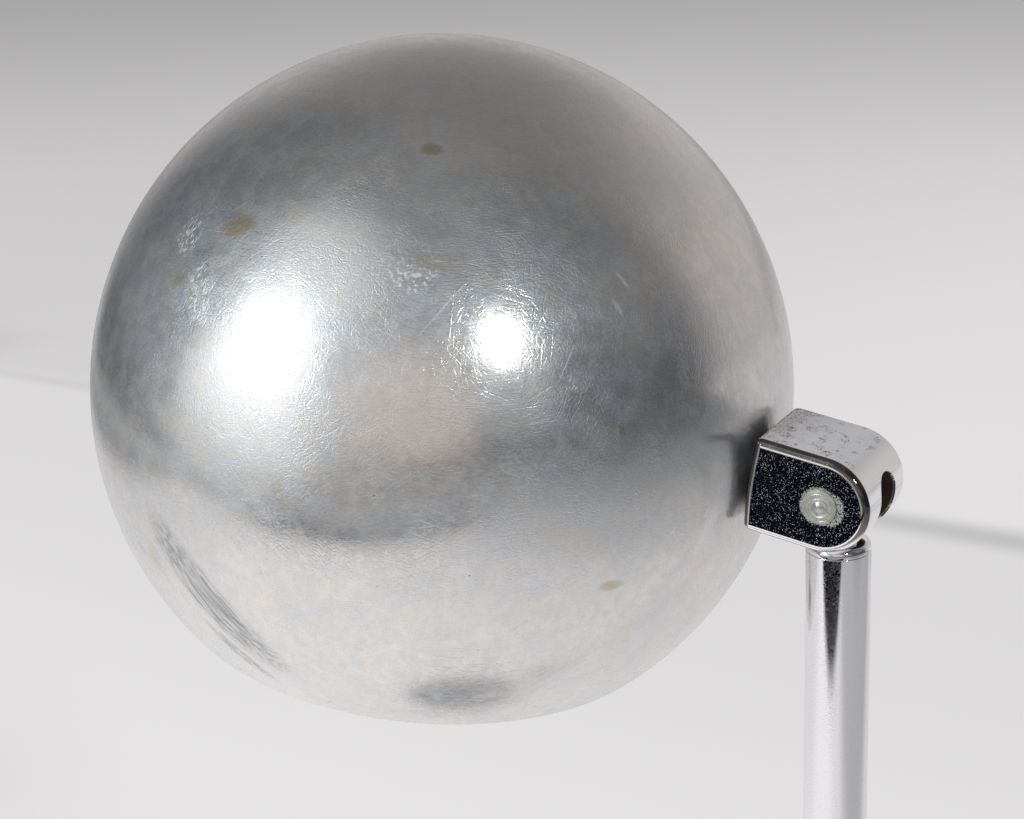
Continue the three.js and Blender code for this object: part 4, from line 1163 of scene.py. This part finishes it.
def bulb_mesh(steps=32):
    """The bulb: a neck that flares into a ball, closed at its foot."""
    bottom = BULB_CAP_TOP + GAP
    middle = bottom + BULB_LENGTH - BULB_R
    neck_r = SCREW_R - 0.4
    pull = [(neck_r, bottom), (neck_r + 1, bottom + 16), (BULB_R, middle - 20), (BULB_R, middle)]
    outline = [(0, bottom)]
    for i in range(steps):
        t = i / steps
        weights = ((1 - t) ** 3, 3 * t * (1 - t) ** 2, 3 * t * t * (1 - t), t ** 3)
        outline.append(tuple(sum(w * p[k] for w, p in zip(weights, pull)) for k in (0, 1)))
    outline += arc(0, middle, BULB_R, 0, 90, steps)[:-1]
    return lathe("bulb", [*outline, (0, middle + BULB_R)], 128)


stand_in(bulb_mesh(), INWARD, "bulb_glass")


# ---- floor, light and camera ----------------------------------------------------------------

FLOOR_HALF = 9.0
FLOOR_DROP = 0.0003  # keeps the floor just clear of the felt
FOLD_Y = 1.24  # where the table's paper turns up into the backdrop

LAMP_DISTANCE = 10
LAMP_TINT = (0.93, 0.97, 1.0)

CAMERA_OFFSET = Vector((0.13839, -0.36283, 0.15904))  # from the head's pin
CAMERA_YAW = 30
CAMERA_PITCH = 20.1
CAMERA_ROLL = -2.477
CAMERA_LENS = 76.57

GLOWS = (
    # azimuth, elevation, inner and outer angle, share, colour
    (-170, 74, 8, 40, 0.45, (0.30, 0.305, 0.31)),
    (-98, 4, 6, 30, 0.4, (0.34, 0.36, 0.38)),
    (-25, 37, 5, 30, 0.55, (0.20, 0.19, 0.185)),
    (161, 10, 12, 30, 1.0, (0.61, 0.54, 0.49)),
    (124, 12, 6, 16, 0.5, (0.48, 0.49, 0.50)),
    (-158, 32, 12, 42, 0.35, (0.74, 0.78, 0.82)),
    (78, 27, 4, 20, 0.3, (0.42, 0.405, 0.39)),
    (-154, 46, 5, 26, 0.64, (1.0, 1.02, 1.05)),
    (-146, 3, 13, 33, 0.92, (1.05, 1.06, 1.06)),
)


def heading(azimuth, elevation):
    """The direction at an azimuth from +Y towards +X, and at an elevation."""
    a, e = math.radians(azimuth), math.radians(elevation)
    return Vector((math.sin(a) * math.cos(e), math.cos(a) * math.cos(e), math.sin(e)))


def oval(r, x, y, half_x, half_y):
    """1 inside a soft oval on the floor."""
    off = r.vector("SUBTRACT", r.place, (x, y, 0))
    off = r.vector("MULTIPLY", off, (1 / half_x, 1 / half_y, 0))
    return r.step(r.vector("LENGTH", off), 1.0, 0.75)


def table_share(r, x, y):
    """1 on the table top and the backdrop, 0 on the room's floor in front and at the sides."""
    past_left = r.times(r.step(r.plus(x, r.times(y, 1.75)), -0.3, 0.3), r.step(y, 1.0, 1.4))
    left = r.maths("MAXIMUM", r.step(x, -1.85, -1.30), past_left)
    # Painted shade: on the right the table gives way to the darker room floor between 0.5 and 1.5 m.
    right = r.plus(r.step(x, 1.5, 1.2, 0.0, 0.4), r.step(x, 0.92, 0.50, 0.0, 0.6))
    past_right = r.step(r.plus(y, r.times(x, -0.45)), 0.85, 1.3)
    return r.times(r.step(y, -1.06, -0.98), left, r.maths("MAXIMUM", right, past_right))


def room_floor(r, x, y):
    """The floor round the table in painted shade, darkest at the sides, with a pale card on its left."""
    colour = r.blend(r.step(y, -1.7, -2.1), (0.52, 0.535, 0.56), (0.40, 0.37, 0.35))
    colour = r.blend(r.step(x, -1.2, -1.6), colour, (0.18, 0.185, 0.19))
    colour = r.blend(r.step(x, 2.1, 2.8), colour, (0.17, 0.175, 0.185))
    distance = r.vector("LENGTH", r.place)
    past_card = r.times(r.step(distance, 2.4, 2.9), r.step(y, -1.9, -1.3))
    card = r.times(r.step(distance, 1.85, 2.2), r.step(x, -0.5, -0.9), r.flip(past_card))
    colour = r.blend(card, colour, (0.85, 0.84, 0.83))
    # Painted shade: a near-black strip and oval in front of the table.
    strip = r.times(
        r.step(y, -1.03, -1.07), r.step(y, -1.32, -1.25),
        r.step(x, -0.75, -0.60), r.step(x, 1.05, 0.90),
    )
    dark = r.maths("MAXIMUM", strip, oval(r, -0.43, -1.29, 0.17, 0.21))
    return r.blend(dark, colour, (0.006, 0.007, 0.012))


def fold_shade_share(r, x, y):
    """Painted shade: a soft dark line along the paper's fold, which fades towards the left."""
    off_fold = r.maths("ABSOLUTE", r.maths("SUBTRACT", y, FOLD_Y))
    line = r.step(off_fold, r.step(x, -1.0, 0.2, 0.02, 0.045), 0.0)
    return r.times(line, r.step(x, -1.5, 0.2, 0.10, 0.34))


def paper_glow(r, x, y, away, past_fold):
    """Painted light: the paper's glow, stronger near the fold, at the table's front and by the lamp."""
    on_wall = r.plus(0.21, r.times(r.step(x, -1.6, -0.3, 0.0, 0.13), r.step(away, 3.3, 1.4)))
    # A painted pool of light on the table beside the lamp's base.
    painted_light_pool = r.times(
        r.step(y, 0.6, 0.1, 0.0, 0.16), r.step(x, 0.5, -0.1), r.step(x, -0.95, -0.55),
    )
    on_table = r.plus(0.345, r.step(y, 1.1, 0.5, 0.0, 0.075), painted_light_pool)
    return r.plus(r.times(past_fold, on_wall), r.times(r.flip(past_fold), on_table))


def floor_material():
    r = Recipe("floor")
    x, y = r.towards(1, 0, 0), r.towards(0, 1, 0)
    away = r.towards(-0.5, 0.866, 0)
    past_fold = r.step(y, FOLD_Y - 0.01, FOLD_Y + 0.03)
    table = table_share(r, x, y)
    fold_shade = fold_shade_share(r, x, y)
    # Painted shade: the paper on the table is 0.86 as bright as on the backdrop, and away from the right it
    # darkens to half towards the back left.
    fade = r.maths("MAXIMUM", r.step(away, 2.2, 4.3, 1.0, 0.50), r.step(x, 0.3, 1.2))
    shade = r.times(r.step(past_fold, 0.0, 1.0, 0.86, 1.0), fade)
    paper = r.blend(r.noise(300, 3), (0.90, 0.870, 0.855), (0.88, 0.850, 0.84))
    # Painted shade: the paper turns grey along the fold.
    paper = r.blend(fold_shade, r.blend(shade, (0, 0, 0), paper), (0.3, 0.3, 0.3))
    r.set(Base_Color=r.blend(table, room_floor(r, x, y), paper), Roughness=0.9)
    r.set(Specular_IOR_Level=0.0)
    # Painted light: the paper glows to the camera and in reflections, but casts no light on diffuse surfaces.
    rays = r.node("ShaderNodeLightPath").outputs
    seen = r.total(rays["Is Camera Ray"], rays["Is Glossy Ray"], rays["Is Transmission Ray"])
    glow = r.times(seen, paper_glow(r, x, y, away, past_fold), table, r.flip(fold_shade))
    r.set(Emission_Color=(1.0, 0.985, 1.0), Emission_Strength=glow)
    return r.material


def make_floor():
    """A pale table top, lit by the lamps and by painted light and shade, in a darker room."""
    mesh = bpy.data.meshes.new("floor")
    build = bmesh.new()
    bmesh.ops.create_grid(build, x_segments=24, y_segments=24, size=FLOOR_HALF)
    build.to_mesh(mesh)
    build.free()
    mesh.materials.append(floor_material())
    floor = linked("floor", mesh)
    floor.location.z = -FLOOR_DROP


def make_world():
    """A dark room on the camera's side, and a pale backdrop that fades towards the ceiling."""
    world = bpy.data.worlds.new("room")
    bpy.context.scene.world = world
    r = Recipe("room", world)
    up = r.towards(0, 0, 1)
    bearing = r.maths("ARCTAN2", r.towards(1, 0, 0), r.towards(0, 1, 0))
    off_middle = r.maths("ABSOLUTE", r.plus(bearing, math.radians(2.5)))
    on_backdrop = r.step(off_middle, math.radians(70), math.radians(40))
    backdrop = r.blend(r.step(up, 0.12, 0.90), (0.60, 0.575, 0.57), (0.20, 0.19, 0.185))
    room = r.blend(r.step(up, 0.15, 0.85), (0.065, 0.07, 0.08), (0.125, 0.13, 0.135))
    sky = r.blend(on_backdrop, room, backdrop)
    for azimuth, elevation, inner, outer, share, colour in GLOWS:
        facing = r.towards(*heading(azimuth, elevation))
        low, high = math.cos(math.radians(outer)), math.cos(math.radians(inner))
        sky = r.blend(r.step(facing, low, high, 0.0, share), sky, colour)
    r.set(Color=sky, Strength=1.0)


def softbox(name, azimuth, elevation, width, height, radiance):
    """An area lamp facing the ball."""
    data = bpy.data.lights.new(name, "AREA")
    data.shape = "RECTANGLE"
    data.size = width
    data.size_y = height
    data.energy = radiance * math.pi * width * height
    data.color = LAMP_TINT
    out = heading(azimuth, elevation)
    lamp = linked(name, data)
    lamp.location = BALL.translation + out * LAMP_DISTANCE
    lamp.rotation_mode = "QUATERNION"
    lamp.rotation_quaternion = out.to_track_quat("Z", "Y")


def make_camera():
    data = bpy.data.cameras.new("camera")
    data.lens = CAMERA_LENS
    data.sensor_width = 36
    data.clip_start = 0.01
    camera = linked("camera", data)
    aim = turn("Z", CAMERA_YAW) @ turn("X", 90 - CAMERA_PITCH) @ turn("Z", CAMERA_ROLL)
    camera.matrix_world = Matrix.Translation(joint_at["head_tilt"] + CAMERA_OFFSET) @ aim
    bpy.context.scene.camera = camera


make_floor()
make_world()
softbox("key", azimuth=-150, elevation=24, width=2.1, height=2.7, radiance=22)
softbox("second", azimuth=127, elevation=31, width=0.9, height=1.1, radiance=62)
make_camera()
bpy.context.scene.view_settings.view_transform = "Standard"

bpy.context.view_layer.update()
